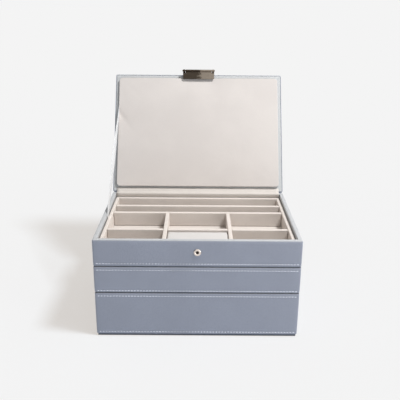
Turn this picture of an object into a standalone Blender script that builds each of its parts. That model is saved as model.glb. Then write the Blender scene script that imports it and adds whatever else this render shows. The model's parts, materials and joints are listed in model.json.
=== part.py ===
"""Tiered jewellery box: three stacking trays, a hinged padded lid and a swinging clasp.

Lengths are metres, angles degrees, +Z is up and the front faces -Y. The origin is the centre
of the base's underside. The lid stands open, held by its ribbon stay.
"""

import math
from dataclasses import dataclass

import bmesh
import bpy
from mathutils import Matrix, Vector

# The whole box
BOX_WIDTH = 0.2500
BOX_DEPTH = 0.1800
BODY_CORNER_RADIUS = 0.0020
TOUCH_GAP = 0.0003
LID_OPEN_ANGLE = 117.8

# The three tiers, each measured over its leather
DEEP_TRAY_HEIGHT = 0.0564
MIDDLE_TRAY_HEIGHT = 0.0346
TOP_TRAY_HEIGHT = 0.0351
PLINTH_HEIGHT = 0.0030
NEST_CLEARANCE = 0.0004

# The layers of a tray's wall, from outside to inside, and of its floor
LEATHER_THICKNESS = 0.0009
LEATHER_EDGE_RADIUS = 0.0009
WALL_BOARD_THICKNESS = 0.0032
RIM_TRIM_THICKNESS = 0.0008
RIM_TRIM_DROP = 0.0090
RIM_TRIM_EDGE_RADIUS = 0.0005
LINING_THICKNESS = 0.0047
LINING_BELOW_RIM = 0.0055
FLOOR_BOARD_THICKNESS = 0.0050
FLOOR_LINING_THICKNESS = 0.0036
BOARD_EDGE_BEVEL = 0.0004
LINING_EDGE_BEVEL = 0.0009

# Dividers: their places are shares of the clear width or depth between the linings
DIVIDER_THICKNESS = 0.0050
DIVIDER_EDGE_BEVEL = 0.0006
TOP_ROW_SHARES = (0.247, 0.631, 0.803)
TOP_COLUMN_SHARES = (0.322, 0.678)
MIDDLE_ROW_SHARE = 0.500
MIDDLE_COLUMN_SHARES = (0.333, 0.667)
DEEP_COLUMN_SHARE = 0.500

# The loose pad in the front middle compartment
DISPLAY_PAD_SIDE_CLEARANCE = 0.0008
DISPLAY_PAD_BELOW_RIM = 0.0070
DISPLAY_PAD_CROWN = 0.0006
DISPLAY_PAD_EDGE_RADIUS = 0.0018
DISPLAY_PAD_DRAW_IN = 0.0004
DISPLAY_PAD_CORNER_RADIUS = 0.0030

# The lid, in layers from its leather to its pad
LID_THICKNESS = 0.0100
LID_SEAT_GAP = 0.0004
LID_PANEL_THICKNESS = 0.0012
LID_PAD_INSET = 0.0066
LID_PAD_THICKNESS = 0.0042
LID_PAD_CROWN = 0.0005
LID_PAD_EDGE_RADIUS = 0.0036
LID_PAD_DRAW_IN = 0.0006
LID_PAD_CORNER_RADIUS = 0.0050

# The hinge: a leather strip outside and a lining strip inside
HINGE_STRIP_THICKNESS = 0.0008
HINGE_STRIP_LENGTH_ON_TRAY = 0.0160
HINGE_STRIP_LENGTH_ON_LID = 0.0090
HINGE_FOLD_LENGTH = 0.0025
HINGE_STRIP_END_INSET = 0.0060
HINGE_LINING_THICKNESS = 0.0004
HINGE_LINING_LENGTH_ON_RIM = 0.0042
HINGE_LINING_LENGTH_ON_LID = 0.0062
HINGE_LINING_FOLD_LENGTH = 0.0012
HINGE_LINING_END_INSET = 0.0070

# The ribbon that stays the lid, on the left
RIBBON_WIDTH = 0.0090
RIBBON_THICKNESS = 0.0004
RIBBON_SIDE_CLEARANCE = 0.00035
RIBBON_LID_SHARE = 0.672
RIBBON_TRAY_SHARE = 0.486

# The clasp: a bracket on the lid's front edge, a pin and a plate that hangs from it
CLASP_WIDTH = 0.0470
CLASP_EAR_WIDTH = 0.0035
CLASP_SIDE_CLEARANCE = 0.0004
BRACKET_THICKNESS = 0.0009
BRACKET_FACE_GAP = 0.0004
BRACKET_RISE = 0.0086
EAR_RADIUS = 0.0019
PIN_RADIUS = 0.0007
PIN_BORE_CLEARANCE = 0.0003
PIN_HEAD_RADIUS = 0.0013
PIN_HEAD_THICKNESS = 0.0007
PIN_BELOW_RIM = 0.0082
BARREL_WALL = 0.0007
BARREL_FLANGE_CLEARANCE = 0.0004
PLATE_LENGTH = 0.0125
PLATE_THICKNESS = 0.0012
PLATE_NECK_LENGTH = 0.0039
PLATE_CORNER_RADIUS = 0.0016
PLATE_BACK_OFFSET = 0.0014
CLASP_FOLD_ANGLE = 98.0
BOSS_RADIUS = 0.0032
BOSS_HEIGHT = 0.0005
RIVET_SPACING = 0.0280
RIVET_HEAD_RADIUS = 0.0020
RIVET_HEAD_THICKNESS = 0.0007
RIVET_SHANK_RADIUS = 0.0010
RIVET_SHANK_LENGTH = 0.0070
RIVET_ABOVE_RIM = 0.0054

# The stud that the clasp closes on
STUD_BELOW_RIM = 0.0155
STUD_FLANGE_RADIUS = 0.0042
STUD_FLANGE_THICKNESS = 0.0009
STUD_SHANK_RADIUS = 0.0022
STUD_BORE_RADIUS = 0.0016
STUD_SHANK_LENGTH = 0.0040
MAGNET_RADIUS = 0.0013
MAGNET_RECESS = 0.0004

# How finely round forms are cut
CORNER_STEPS = 3
EDGE_STEPS = 2
PAD_EDGE_STEPS = 3
FOLD_STEPS = 5
ROUND_STEPS = 24
LEAST_CORNER_RADIUS = 0.0003
CROWN_SHARES = (0.2, 0.5, 0.85)
PAD_BELLY_SHARE = 0.35
CUTTER_OVERRUN = 0.0010

# Distances in from the outer face to each layer of a tray's wall
BOARD_OUTSIDE = LEATHER_THICKNESS + TOUCH_GAP
BOARD_INSIDE = BOARD_OUTSIDE + WALL_BOARD_THICKNESS
TRIM_LEG_OUTSIDE = BOARD_INSIDE + TOUCH_GAP
RIM_INSIDE = TRIM_LEG_OUTSIDE + RIM_TRIM_THICKNESS
LINING_OUTSIDE = RIM_INSIDE + TOUCH_GAP
LINING_INSIDE = LINING_OUTSIDE + LINING_THICKNESS
PLINTH_OUTSIDE = RIM_INSIDE + NEST_CLEARANCE
FLOOR_OUTSIDE = BOARD_INSIDE + TOUCH_GAP

# Heights in a tray, from the lower edge of its leather
FLOOR_STEP = LEATHER_THICKNESS + TOUCH_GAP
FLOOR_BOARD_TOP = FLOOR_STEP + FLOOR_BOARD_THICKNESS
FLOOR_LINING_TOP = FLOOR_BOARD_TOP + TOUCH_GAP + FLOOR_LINING_THICKNESS
COMPARTMENT_FLOOR = FLOOR_LINING_TOP + TOUCH_GAP

HALF_WIDTH = BOX_WIDTH / 2
HALF_DEPTH = BOX_DEPTH / 2
CLEAR_HALF_WIDTH = HALF_WIDTH - LINING_INSIDE
CLEAR_HALF_DEPTH = HALF_DEPTH - LINING_INSIDE


@dataclass(frozen=True)
class Tray:
    """One stacking tier. Heights inside it are measured from the lower edge of its leather."""

    name: str
    base: float
    height: float

    @property
    def rim(self):
        """The height of this tray's rim above the ground."""
        return self.base + self.height

    @property
    def divider_top(self):
        """The height of linings and dividers inside the tray."""
        return self.height - LINING_BELOW_RIM


DEEP = Tray("deep", PLINTH_HEIGHT, DEEP_TRAY_HEIGHT)
MIDDLE = Tray("middle", DEEP.rim + TOUCH_GAP, MIDDLE_TRAY_HEIGHT)
TOP = Tray("top", MIDDLE.rim + TOUCH_GAP, TOP_TRAY_HEIGHT)

HINGE_Y = HALF_DEPTH + TOUCH_GAP + HINGE_STRIP_THICKNESS / 2
HINGE_Z = TOP.rim + LID_SEAT_GAP / 2
LID_INNER_FACE = TOP.rim + LID_SEAT_GAP
LID_BOARD_LOW = LID_INNER_FACE + LID_PANEL_THICKNESS + TOUCH_GAP
LID_OUTER_FACE = LID_INNER_FACE + LID_THICKNESS
LID_BOARD_HIGH = LID_OUTER_FACE - LEATHER_THICKNESS - TOUCH_GAP

BARREL_RADIUS = PIN_RADIUS + PIN_BORE_CLEARANCE + BARREL_WALL
BRACKET_BACK_Y = -HALF_DEPTH - BRACKET_FACE_GAP
BRACKET_FRONT_Y = BRACKET_BACK_Y - BRACKET_THICKNESS
PIN_Y = BRACKET_FRONT_Y - BARREL_FLANGE_CLEARANCE - BARREL_RADIUS
PIN_Z = TOP.rim - PIN_BELOW_RIM
HINGE_POINT = Vector((0, HINGE_Y, HINGE_Z))
CLASP_POINT = Vector((0, PIN_Y, PIN_Z))


def clear_scene():
    """Remove whatever the scene holds before the model is made."""
    for item in list(bpy.data.objects):
        bpy.data.objects.remove(item, do_unlink=True)


def make_material(name, colour, roughness, metallic=0.0):
    """A plain finish with the piece's colour."""
    material = bpy.data.materials.new(name)
    material.use_nodes = True
    shader = material.node_tree.nodes["Principled BSDF"]
    shader.inputs["Base Color"].default_value = (*colour, 1)
    shader.inputs["Roughness"].default_value = roughness
    shader.inputs["Metallic"].default_value = metallic
    return material


def make_materials():
    """Every finish of the box, by name."""
    return {
        "blue_grey_leather": make_material("blue_grey_leather", (0.26, 0.29, 0.36), 0.55),
        "board": make_material("board", (0.36, 0.25, 0.16), 0.85),
        "pale_trim": make_material("pale_trim", (0.62, 0.65, 0.68), 0.60),
        "cream_trim": make_material("cream_trim", (0.78, 0.74, 0.70), 0.80),
        "beige_velvet": make_material("beige_velvet", (0.80, 0.72, 0.65), 0.95),
        "cream_pad_velvet": make_material("cream_pad_velvet", (0.78, 0.71, 0.67), 0.95),
        "white_pad_velvet": make_material("white_pad_velvet", (0.82, 0.78, 0.76), 0.95),
        "stay_ribbon": make_material("stay_ribbon", (0.70, 0.69, 0.67), 0.80),
        "clasp_metal": make_material("clasp_metal", (0.30, 0.25, 0.20), 0.30, 1.0),
        "stud_metal": make_material("stud_metal", (0.62, 0.57, 0.52), 0.30, 1.0),
        "magnet": make_material("magnet", (0.03, 0.03, 0.03), 0.50, 1.0),
    }


def make_pivot(name, location, parent=None):
    """An empty that other pieces hang from."""
    pivot = bpy.data.objects.new(name, None)
    bpy.context.scene.collection.objects.link(pivot)
    pivot.location = location
    pivot.parent = parent
    return pivot


def add_object(name, mesh, material, parent=None, location=(0, 0, 0)):
    """Link a mesh to the scene under its own name."""
    if material is not None:
        mesh.materials.append(material)
    item = bpy.data.objects.new(name, mesh)
    bpy.context.scene.collection.objects.link(item)
    item.parent = parent
    item.location = location
    return item


def mesh_from(name, points, faces):
    """A mesh whose faces all point outwards."""
    mesh = bpy.data.meshes.new(name)
    mesh.from_pydata(points, [], faces)
    work = bmesh.new()
    work.from_mesh(mesh)
    bmesh.ops.recalc_face_normals(work, faces=work.faces)
    work.to_mesh(mesh)
    work.free()
    return mesh


def add_bevel(item, width, segments=1):
    """Break the sharp edges of a piece."""
    bevel = item.modifiers.new("broken_edges", "BEVEL")
    bevel.width = width
    bevel.segments = segments
    bevel.limit_method = "ANGLE"
    return item


def smooth(item):
    """Shade the round stretches smooth and keep the real edges sharp."""
    item.data.shade_smooth()
    item.data.set_sharp_from_angle(angle=math.radians(35))
    return item


def plain_box(name, low, high, material, parent):
    """A box between two opposite corners, with its origin at its middle."""
    low = Vector(low)
    high = Vector(high)
    work = bmesh.new()
    bmesh.ops.create_cube(work, size=1)
    bmesh.ops.transform(work, matrix=Matrix.Diagonal((*(high - low), 1)), verts=work.verts)
    mesh = bpy.data.meshes.new(name)
    work.to_mesh(mesh)
    work.free()
    return add_object(name, mesh, material, parent, (low + high) / 2)


def panel(name, low, high, material, parent, bevel):
    """A box whose edges are broken, for boards and linings."""
    return add_bevel(plain_box(name, low, high, material, parent), bevel)


def rounded_rectangle(half_x, half_y, radius):
    """The points of a rectangle with round corners, in order."""
    points = []
    for corner, (side_x, side_y) in enumerate(((1, 1), (-1, 1), (-1, -1), (1, -1))):
        for step in range(CORNER_STEPS + 1):
            angle = (corner + step / CORNER_STEPS) * math.pi / 2
            x = side_x * (half_x - radius) + radius * math.cos(angle)
            y = side_y * (half_y - radius) + radius * math.sin(angle)
            points.append((x, y))
    return points


def loft(name, levels, half_x, half_y, corner_radius, is_ring):
    """A solid through rounded rectangles.

    Each level is (how far in from the outline, height). A ring closes from its last level to
    its first, and anything else is capped at both ends.
    """
    points = []
    for inset, height in levels:
        radius = max(corner_radius - inset, LEAST_CORNER_RADIUS)
        outline = rounded_rectangle(half_x - inset, half_y - inset, radius)
        points += [(x, y, height) for x, y in outline]
    count = len(points) // len(levels)
    faces = []
    for level in range(len(levels) if is_ring else len(levels) - 1):
        near = level * count
        far = (level + 1) % len(levels) * count
        for k in range(count):
            after = (k + 1) % count
            faces.append((near + k, near + after, far + after, far + k))
    if not is_ring:
        faces.append(tuple(range(count)))
        faces.append(tuple(range(len(points) - count, len(points))))
    return mesh_from(name, points, faces)


def rounded_edge(inset, height, radius, start_angle, steps):
    """Levels along a quarter circle centred at (inset, height), from start_angle upwards."""
    levels = []
    for step in range(steps + 1):
        angle = math.radians(start_angle) + step / steps * math.pi / 2
        levels.append((inset - radius * math.cos(angle), height + radius * math.sin(angle)))
    return levels


def pad_levels(half_least, thickness, crown, edge_radius, draw_in):
    """The levels of a stuffed pad: sides drawn in at the foot, round edges and a crowned face."""
    radius = min(edge_radius, thickness * (1 - PAD_BELLY_SHARE))
    levels = [(draw_in, 0)]
    levels += rounded_edge(radius, thickness - radius, radius, 0, PAD_EDGE_STEPS)
    for share in CROWN_SHARES:
        inset = radius + share * (half_least - radius)
        levels.append((inset, thickness + crown * (1 - (1 - share) ** 2)))
    return levels


def prism(name, outline, axis, low, high):
    """An outline in the plane of the other two axes, carried from low to high along one."""
    def at(place, pair):
        coordinates = list(pair)
        coordinates.insert(axis, place)
        return tuple(coordinates)

    count = len(outline)
    points = [at(low, pair) for pair in outline] + [at(high, pair) for pair in outline]
    faces = [tuple(range(count)), tuple(range(count, 2 * count))]
    faces += [(k, (k + 1) % count, (k + 1) % count + count, k + count) for k in range(count)]
    return mesh_from(name, points, faces)


def turned(name, profile, is_ring, direction, centre):
    """A profile of (radius, distance along the axis) turned about an axis through centre."""
    turn = Vector((0, 0, 1)).rotation_difference(Vector(direction)).to_matrix()
    points = []
    for radius, along in profile:
        for step in range(ROUND_STEPS):
            angle = step / ROUND_STEPS * math.tau
            local = Vector((radius * math.cos(angle), radius * math.sin(angle), along))
            points.append(Vector(centre) + turn @ local)
    faces = []
    for row in range(len(profile) if is_ring else len(profile) - 1):
        near = row * ROUND_STEPS
        far = (row + 1) % len(profile) * ROUND_STEPS
        for k in range(ROUND_STEPS):
            after = (k + 1) % ROUND_STEPS
            faces.append((near + k, near + after, far + after, far + k))
    if not is_ring:
        faces.append(tuple(range(ROUND_STEPS)))
        faces.append(tuple(range(len(points) - ROUND_STEPS, len(points))))
    return mesh_from(name, points, faces)


def combine(item, helper_mesh, operation):
    """Join a helper shape to a piece, or cut it away."""
    helper = add_object(f"{item.name}_{helper_mesh.name}", helper_mesh, None, item.parent)
    helper.location = item.location
    helper.hide_render = True
    helper.display_type = "WIRE"
    boolean = item.modifiers.new(helper_mesh.name, "BOOLEAN")
    boolean.operation = operation
    boolean.solver = "EXACT"
    boolean.object = helper


def hang(item, pivot, closed_place):
    """Move a piece that is drawn on the closed box onto its pivot, which turns it open."""
    item.data.transform(Matrix.Translation(item.location - closed_place))
    item.location = (0, 0, 0)
    item.parent = pivot
    for modifier in item.modifiers:
        if modifier.type == "BOOLEAN":
            helper = modifier.object
            helper.data.transform(Matrix.Translation(helper.location - closed_place))
            helper.location = (0, 0, 0)
            helper.parent = pivot
    return item


def wrap_levels(tray):
    """The leather's section: outer face with round edges, and a turn-in under the boards."""
    radius = LEATHER_EDGE_RADIUS
    arc = rounded_edge(radius, 0, radius, 0, EDGE_STEPS)
    lower = [(inset, radius - rise) for inset, rise in arc]
    upper = rounded_edge(radius, tray.height - radius, radius, 0, EDGE_STEPS)
    inner = [
        (LEATHER_THICKNESS, tray.height - LEATHER_THICKNESS),
        (LEATHER_THICKNESS, LEATHER_THICKNESS),
        (PLINTH_OUTSIDE - TOUCH_GAP, LEATHER_THICKNESS),
        (PLINTH_OUTSIDE - TOUCH_GAP, 0),
    ]
    return list(reversed(lower)) + upper + inner


def make_wrap(tray, materials, pivot):
    """The leather round the outside of a tray."""
    name = f"{tray.name}_leather_wrap"
    mesh = loft(name, wrap_levels(tray), HALF_WIDTH, HALF_DEPTH, BODY_CORNER_RADIUS, True)
    return smooth(add_object(name, mesh, materials["blue_grey_leather"], pivot))


def make_rim_trim(tray, materials, pivot):
    """The pale strip over the rim and down its inner side, where the next tier nests."""
    top = tray.height
    radius = RIM_TRIM_EDGE_RADIUS
    under = top - RIM_TRIM_THICKNESS
    levels = [
        (BOARD_OUTSIDE, under),
        (BOARD_OUTSIDE, top),
        (RIM_INSIDE - radius, top),
        (RIM_INSIDE, top - radius),
        (RIM_INSIDE, top - RIM_TRIM_DROP),
        (TRIM_LEG_OUTSIDE, top - RIM_TRIM_DROP),
        (TRIM_LEG_OUTSIDE, under),
    ]
    name = f"{tray.name}_rim_trim"
    mesh = loft(name, levels, HALF_WIDTH, HALF_DEPTH, BODY_CORNER_RADIUS, True)
    return add_object(name, mesh, materials["pale_trim"], pivot)


def make_floor(tray, materials, pivot):
    """The floor board, stepped so that its plinth drops into the tier below, and its lining."""
    levels = [
        (PLINTH_OUTSIDE + BOARD_EDGE_BEVEL, -PLINTH_HEIGHT),
        (PLINTH_OUTSIDE, -PLINTH_HEIGHT + BOARD_EDGE_BEVEL),
        (PLINTH_OUTSIDE, FLOOR_STEP),
        (FLOOR_OUTSIDE, FLOOR_STEP),
        (FLOOR_OUTSIDE, FLOOR_BOARD_TOP),
    ]
    name = f"{tray.name}_floor_board"
    mesh = loft(name, levels, HALF_WIDTH, HALF_DEPTH, BODY_CORNER_RADIUS, False)
    add_object(name, mesh, materials["board"], pivot)
    half = Vector((HALF_WIDTH - FLOOR_OUTSIDE, HALF_DEPTH - FLOOR_OUTSIDE, 0))
    low = -half + Vector((0, 0, FLOOR_BOARD_TOP + TOUCH_GAP))
    high = half + Vector((0, 0, FLOOR_LINING_TOP))
    panel(f"{tray.name}_lining_floor", low, high, materials["beige_velvet"], pivot, BOARD_EDGE_BEVEL)


def make_four_walls(tray, suffix, outside, thickness, bottom, top, material, pivot, bevel):
    """Four straight boards round a tray: front and back run full width, sides fit between."""
    x_out = HALF_WIDTH - outside
    y_out = HALF_DEPTH - outside
    x_in = x_out - thickness
    y_in = y_out - thickness
    y_side = y_in - TOUCH_GAP
    places = {
        "front": ((-x_out, -y_out, bottom), (x_out, -y_in, top)),
        "back": ((-x_out, y_in, bottom), (x_out, y_out, top)),
        "left": ((-x_out, -y_side, bottom), (-x_in, y_side, top)),
        "right": ((x_in, -y_side, bottom), (x_out, y_side, top)),
    }
    return {
        side: panel(f"{tray.name}_{side}_{suffix}", low, high, material, pivot, bevel)
        for side, (low, high) in places.items()
    }


def make_tray_shell(tray, materials, pivot):
    """Everything that a tier has apart from its dividers. Returns its leather and its walls."""
    wrap = make_wrap(tray, materials, pivot)
    make_rim_trim(tray, materials, pivot)
    make_floor(tray, materials, pivot)
    walls = make_four_walls(
        tray,
        "wall",
        BOARD_OUTSIDE,
        WALL_BOARD_THICKNESS,
        FLOOR_STEP,
        tray.height - RIM_TRIM_THICKNESS - TOUCH_GAP,
        materials["board"],
        pivot,
        BOARD_EDGE_BEVEL,
    )
    make_four_walls(
        tray,
        "lining",
        LINING_OUTSIDE,
        LINING_THICKNESS,
        COMPARTMENT_FLOOR,
        tray.divider_top,
        materials["beige_velvet"],
        pivot,
        LINING_EDGE_BEVEL,
    )
    return wrap, walls


def board_outline(low, high, bottom, top, notches, notch_from_top):
    """A board's side view, with a slot half its height at each crossing board."""
    half_slot = DIVIDER_THICKNESS / 2 + TOUCH_GAP
    middle = (bottom + top) / 2
    if notch_from_top:
        end, depth = top, middle - TOUCH_GAP / 2
    else:
        end, depth = bottom, middle + TOUCH_GAP / 2
    edge = []
    for place in sorted(notches):
        edge += [(place - half_slot, end), (place - half_slot, depth)]
        edge += [(place + half_slot, depth), (place + half_slot, end)]
    if notch_from_top:
        return [(low, bottom), (high, bottom), (high, top)] + edge[::-1] + [(low, top)]
    return [(low, bottom)] + edge + [(high, bottom), (high, top), (low, top)]


def make_divider(name, tray, axis, reach, across, notches, notch_from_top, materials, pivot):
    """A divider board, slotted where others cross it.

    Axis is the one that the board is thin along, so 0 makes one that runs from front to back
    and 1 one that runs from side to side. Reach is its two ends, and across its place.
    """
    outline = board_outline(*reach, COMPARTMENT_FLOOR, tray.divider_top, notches, notch_from_top)
    half = DIVIDER_THICKNESS / 2
    mesh = prism(name, outline, axis, across - half, across + half)
    item = add_object(name, mesh, materials["beige_velvet"], pivot)
    return add_bevel(item, DIVIDER_EDGE_BEVEL)


def share_places(shares, half):
    """Places at these shares of a clear span, measured from its low end."""
    return [-half + 2 * half * share for share in shares]


def make_top_dividers(materials, pivot):
    """Two slots behind, a row of three, and a row of three in front."""
    ends = (-CLEAR_HALF_WIDTH + TOUCH_GAP, CLEAR_HALF_WIDTH - TOUCH_GAP)
    front, middle, rear = share_places(TOP_ROW_SHARES, CLEAR_HALF_DEPTH)
    columns = share_places(TOP_COLUMN_SHARES, CLEAR_HALF_WIDTH)
    for name, place in (("top_rear_divider", rear), ("top_middle_divider", middle)):
        make_divider(name, TOP, 1, ends, place, [], True, materials, pivot)
    make_divider("top_front_divider", TOP, 1, ends, front, columns, True, materials, pivot)
    reach = (-CLEAR_HALF_DEPTH + TOUCH_GAP, middle - DIVIDER_THICKNESS / 2 - TOUCH_GAP)
    for side, place in zip(("left", "right"), columns):
        name = f"top_{side}_cross_divider"
        make_divider(name, TOP, 0, reach, place, [front], False, materials, pivot)
    make_display_pad(columns, front, materials, pivot)


def make_display_pad(columns, front, materials, pivot):
    """The loose velvet pad that fills the front middle compartment."""
    aside = DIVIDER_THICKNESS / 2 + DISPLAY_PAD_SIDE_CLEARANCE
    low = Vector((columns[0] + aside, -CLEAR_HALF_DEPTH + DISPLAY_PAD_SIDE_CLEARANCE))
    high = Vector((columns[1] - aside, front - aside))
    half = (high - low) / 2
    thickness = TOP.height - DISPLAY_PAD_BELOW_RIM - COMPARTMENT_FLOOR - DISPLAY_PAD_CROWN
    levels = pad_levels(
        min(half), thickness, DISPLAY_PAD_CROWN, DISPLAY_PAD_EDGE_RADIUS, DISPLAY_PAD_DRAW_IN
    )
    mesh = loft("display_pad", levels, *half, DISPLAY_PAD_CORNER_RADIUS, False)
    location = (*((low + high) / 2), COMPARTMENT_FLOOR)
    smooth(add_object("display_pad", mesh, materials["white_pad_velvet"], pivot, location))


def make_middle_dividers(materials, pivot):
    """A grid of six."""
    ends = (-CLEAR_HALF_WIDTH + TOUCH_GAP, CLEAR_HALF_WIDTH - TOUCH_GAP)
    reach = (-CLEAR_HALF_DEPTH + TOUCH_GAP, CLEAR_HALF_DEPTH - TOUCH_GAP)
    row = share_places([MIDDLE_ROW_SHARE], CLEAR_HALF_DEPTH)
    columns = share_places(MIDDLE_COLUMN_SHARES, CLEAR_HALF_WIDTH)
    make_divider("middle_long_divider", MIDDLE, 1, ends, row[0], columns, True, materials, pivot)
    for side, place in zip(("left", "right"), columns):
        name = f"middle_{side}_cross_divider"
        make_divider(name, MIDDLE, 0, reach, place, row, False, materials, pivot)


def make_deep_divider(materials, pivot):
    """One board that parts the deep tray in two."""
    reach = (-CLEAR_HALF_DEPTH + TOUCH_GAP, CLEAR_HALF_DEPTH - TOUCH_GAP)
    place = share_places([DEEP_COLUMN_SHARE], CLEAR_HALF_WIDTH)[0]
    make_divider("deep_cross_divider", DEEP, 0, reach, place, [], True, materials, pivot)


def stud_hole(name):
    """A cutter for the stud's shank, through the leather and the wall behind it."""
    length = BOARD_INSIDE + 2 * CUTTER_OVERRUN
    radius = STUD_SHANK_RADIUS + TOUCH_GAP
    start = (0, -HALF_DEPTH - CUTTER_OVERRUN, TOP_TRAY_HEIGHT - STUD_BELOW_RIM)
    return turned(name, [(radius, 0), (radius, length)], False, (0, 1, 0), start)


def make_stud(wrap, front_wall, materials, pivot):
    """The ring on the top tray's front, with its shank through the wall and its magnet."""
    combine(wrap, stud_hole("stud_hole"), "DIFFERENCE")
    hole = stud_hole("stud_hole")
    hole.transform(Matrix.Translation(-front_wall.location))
    combine(front_wall, hole, "DIFFERENCE")
    face = (0, -HALF_DEPTH - TOUCH_GAP - STUD_FLANGE_THICKNESS, TOP_TRAY_HEIGHT - STUD_BELOW_RIM)
    lip = STUD_FLANGE_THICKNESS / 2
    flange = STUD_FLANGE_THICKNESS
    profile = [
        (STUD_BORE_RADIUS, lip),
        (STUD_BORE_RADIUS + lip, 0),
        (STUD_FLANGE_RADIUS - lip, 0),
        (STUD_FLANGE_RADIUS, lip),
        (STUD_FLANGE_RADIUS, flange),
        (STUD_SHANK_RADIUS, flange),
        (STUD_SHANK_RADIUS, flange + STUD_SHANK_LENGTH),
        (STUD_BORE_RADIUS, flange + STUD_SHANK_LENGTH),
    ]
    mesh = turned("stud_ring", profile, True, (0, 1, 0), face)
    smooth(add_object("stud_ring", mesh, materials["stud_metal"], pivot))
    ends = (MAGNET_RECESS, STUD_FLANGE_THICKNESS + STUD_SHANK_LENGTH)
    profile = [(MAGNET_RADIUS, end) for end in ends]
    mesh = turned("stud_magnet", profile, False, (0, 1, 0), face)
    smooth(add_object("stud_magnet", mesh, materials["magnet"], pivot))


def make_lid_wrap(materials):
    """The leather over the lid: an open cap with round outer edges, its mouth downwards."""
    radius = LEATHER_EDGE_RADIUS
    low = LID_INNER_FACE
    high = LID_OUTER_FACE
    arc = rounded_edge(radius, 0, radius, 0, EDGE_STEPS)
    foot = [(inset, low + radius - rise) for inset, rise in arc]
    levels = [(LEATHER_THICKNESS, high - LEATHER_THICKNESS), (LEATHER_THICKNESS, low)]
    levels += list(reversed(foot))[1:]
    levels += rounded_edge(radius, high - radius, radius, 0, EDGE_STEPS)
    mesh = loft("lid_leather_wrap", levels, HALF_WIDTH, HALF_DEPTH, BODY_CORNER_RADIUS, False)
    return smooth(add_object("lid_leather_wrap", mesh, materials["blue_grey_leather"]))


def make_lid_board(materials):
    """The lid's stiff core."""
    half = Vector((HALF_WIDTH - BOARD_OUTSIDE, HALF_DEPTH - BOARD_OUTSIDE, 0))
    low = -half + Vector((0, 0, LID_BOARD_LOW))
    high = half + Vector((0, 0, LID_BOARD_HIGH))
    return panel("lid_board", low, high, materials["board"], None, BOARD_EDGE_BEVEL)


def make_lid_panel(materials):
    """The pale panel whose border shows round the lid's pad."""
    half = Vector((HALF_WIDTH - BOARD_OUTSIDE, HALF_DEPTH - BOARD_OUTSIDE, 0))
    low = -half + Vector((0, 0, LID_INNER_FACE))
    high = half + Vector((0, 0, LID_INNER_FACE + LID_PANEL_THICKNESS))
    return panel("lid_inner_panel", low, high, materials["pale_trim"], None, BOARD_EDGE_BEVEL)


def make_lid_pad(materials):
    """The stuffed pad inside the lid. It drops into the top tray's rim when the lid shuts."""
    half_x = HALF_WIDTH - LID_PAD_INSET
    half_y = HALF_DEPTH - LID_PAD_INSET
    levels = pad_levels(half_y, LID_PAD_THICKNESS, LID_PAD_CROWN, LID_PAD_EDGE_RADIUS, LID_PAD_DRAW_IN)
    mesh = loft("lid_pad", levels, half_x, half_y, LID_PAD_CORNER_RADIUS, False)
    mesh.transform(Matrix.Rotation(math.pi, 4, "X"))
    item = add_object("lid_pad", mesh, materials["cream_pad_velvet"])
    item.location = (0, 0, LID_INNER_FACE - TOUCH_GAP)
    return smooth(item)


def make_bracket(materials):
    """The plate on the lid's front edge, with an ear at each end that carries the pin."""
    ear_out = CLASP_WIDTH / 2
    ear_in = ear_out - CLASP_EAR_WIDTH
    flange_low = PIN_Z + EAR_RADIUS + BRACKET_THICKNESS
    flange_high = TOP.rim + BRACKET_RISE
    low = (-ear_out, BRACKET_FRONT_Y, flange_low)
    high = (ear_out, BRACKET_BACK_Y, flange_high)
    bracket = plain_box("clasp_bracket", low, high, materials["clasp_metal"], None)
    outline = [(BRACKET_BACK_Y, flange_low + BRACKET_THICKNESS), (BRACKET_BACK_Y, PIN_Z)]
    for step in range(FOLD_STEPS * 2 + 1):
        angle = math.radians(-90) - step / (FOLD_STEPS * 2) * math.pi
        y = PIN_Y + EAR_RADIUS * math.cos(angle)
        outline.append((y, PIN_Z + EAR_RADIUS * math.sin(angle)))
    outline.append((BRACKET_FRONT_Y - TOUCH_GAP, flange_low + BRACKET_THICKNESS))
    for name, start, end in (("left_ear", -ear_out, -ear_in), ("right_ear", ear_in, ear_out)):
        ear = prism(name, outline, 0, start, end)
        ear.transform(Matrix.Translation(-bracket.location))
        combine(bracket, ear, "UNION")
    bore = PIN_RADIUS + PIN_BORE_CLEARANCE
    length = CLASP_WIDTH + 2 * CUTTER_OVERRUN
    start = Vector((-length / 2, PIN_Y, PIN_Z)) - bracket.location
    pin_hole = turned("pin_hole", [(bore, 0), (bore, length)], False, (1, 0, 0), start)
    combine(bracket, pin_hole, "DIFFERENCE")
    return bracket


def make_pin(materials):
    """The pin through the ears and the plate's barrel, with a head at each end."""
    ear_end = CLASP_WIDTH / 2 + TOUCH_GAP
    head_end = ear_end + PIN_HEAD_THICKNESS
    profile = [
        (PIN_HEAD_RADIUS, -head_end),
        (PIN_HEAD_RADIUS, -ear_end),
        (PIN_RADIUS, -ear_end),
        (PIN_RADIUS, ear_end),
        (PIN_HEAD_RADIUS, ear_end),
        (PIN_HEAD_RADIUS, head_end),
    ]
    mesh = turned("clasp_pin", profile, False, (1, 0, 0), CLASP_POINT)
    return smooth(add_object("clasp_pin", mesh, materials["clasp_metal"]))


def plate_outline():
    """The plate's front view: a neck between the ears, then full width to round corners."""
    neck = CLASP_WIDTH / 2 - CLASP_EAR_WIDTH - CLASP_SIDE_CLEARANCE
    half = CLASP_WIDTH / 2
    shoulder = PIN_Z - PLATE_NECK_LENGTH
    foot = PIN_Z - PLATE_LENGTH
    radius = PLATE_CORNER_RADIUS
    right = [(neck, PIN_Z), (neck, shoulder), (half, shoulder)]
    for step in range(FOLD_STEPS + 1):
        angle = -step / FOLD_STEPS * math.pi / 2
        x = half - radius + radius * math.cos(angle)
        right.append((x, foot + radius + radius * math.sin(angle)))
    return right + [(-x, z) for x, z in reversed(right)]


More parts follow.
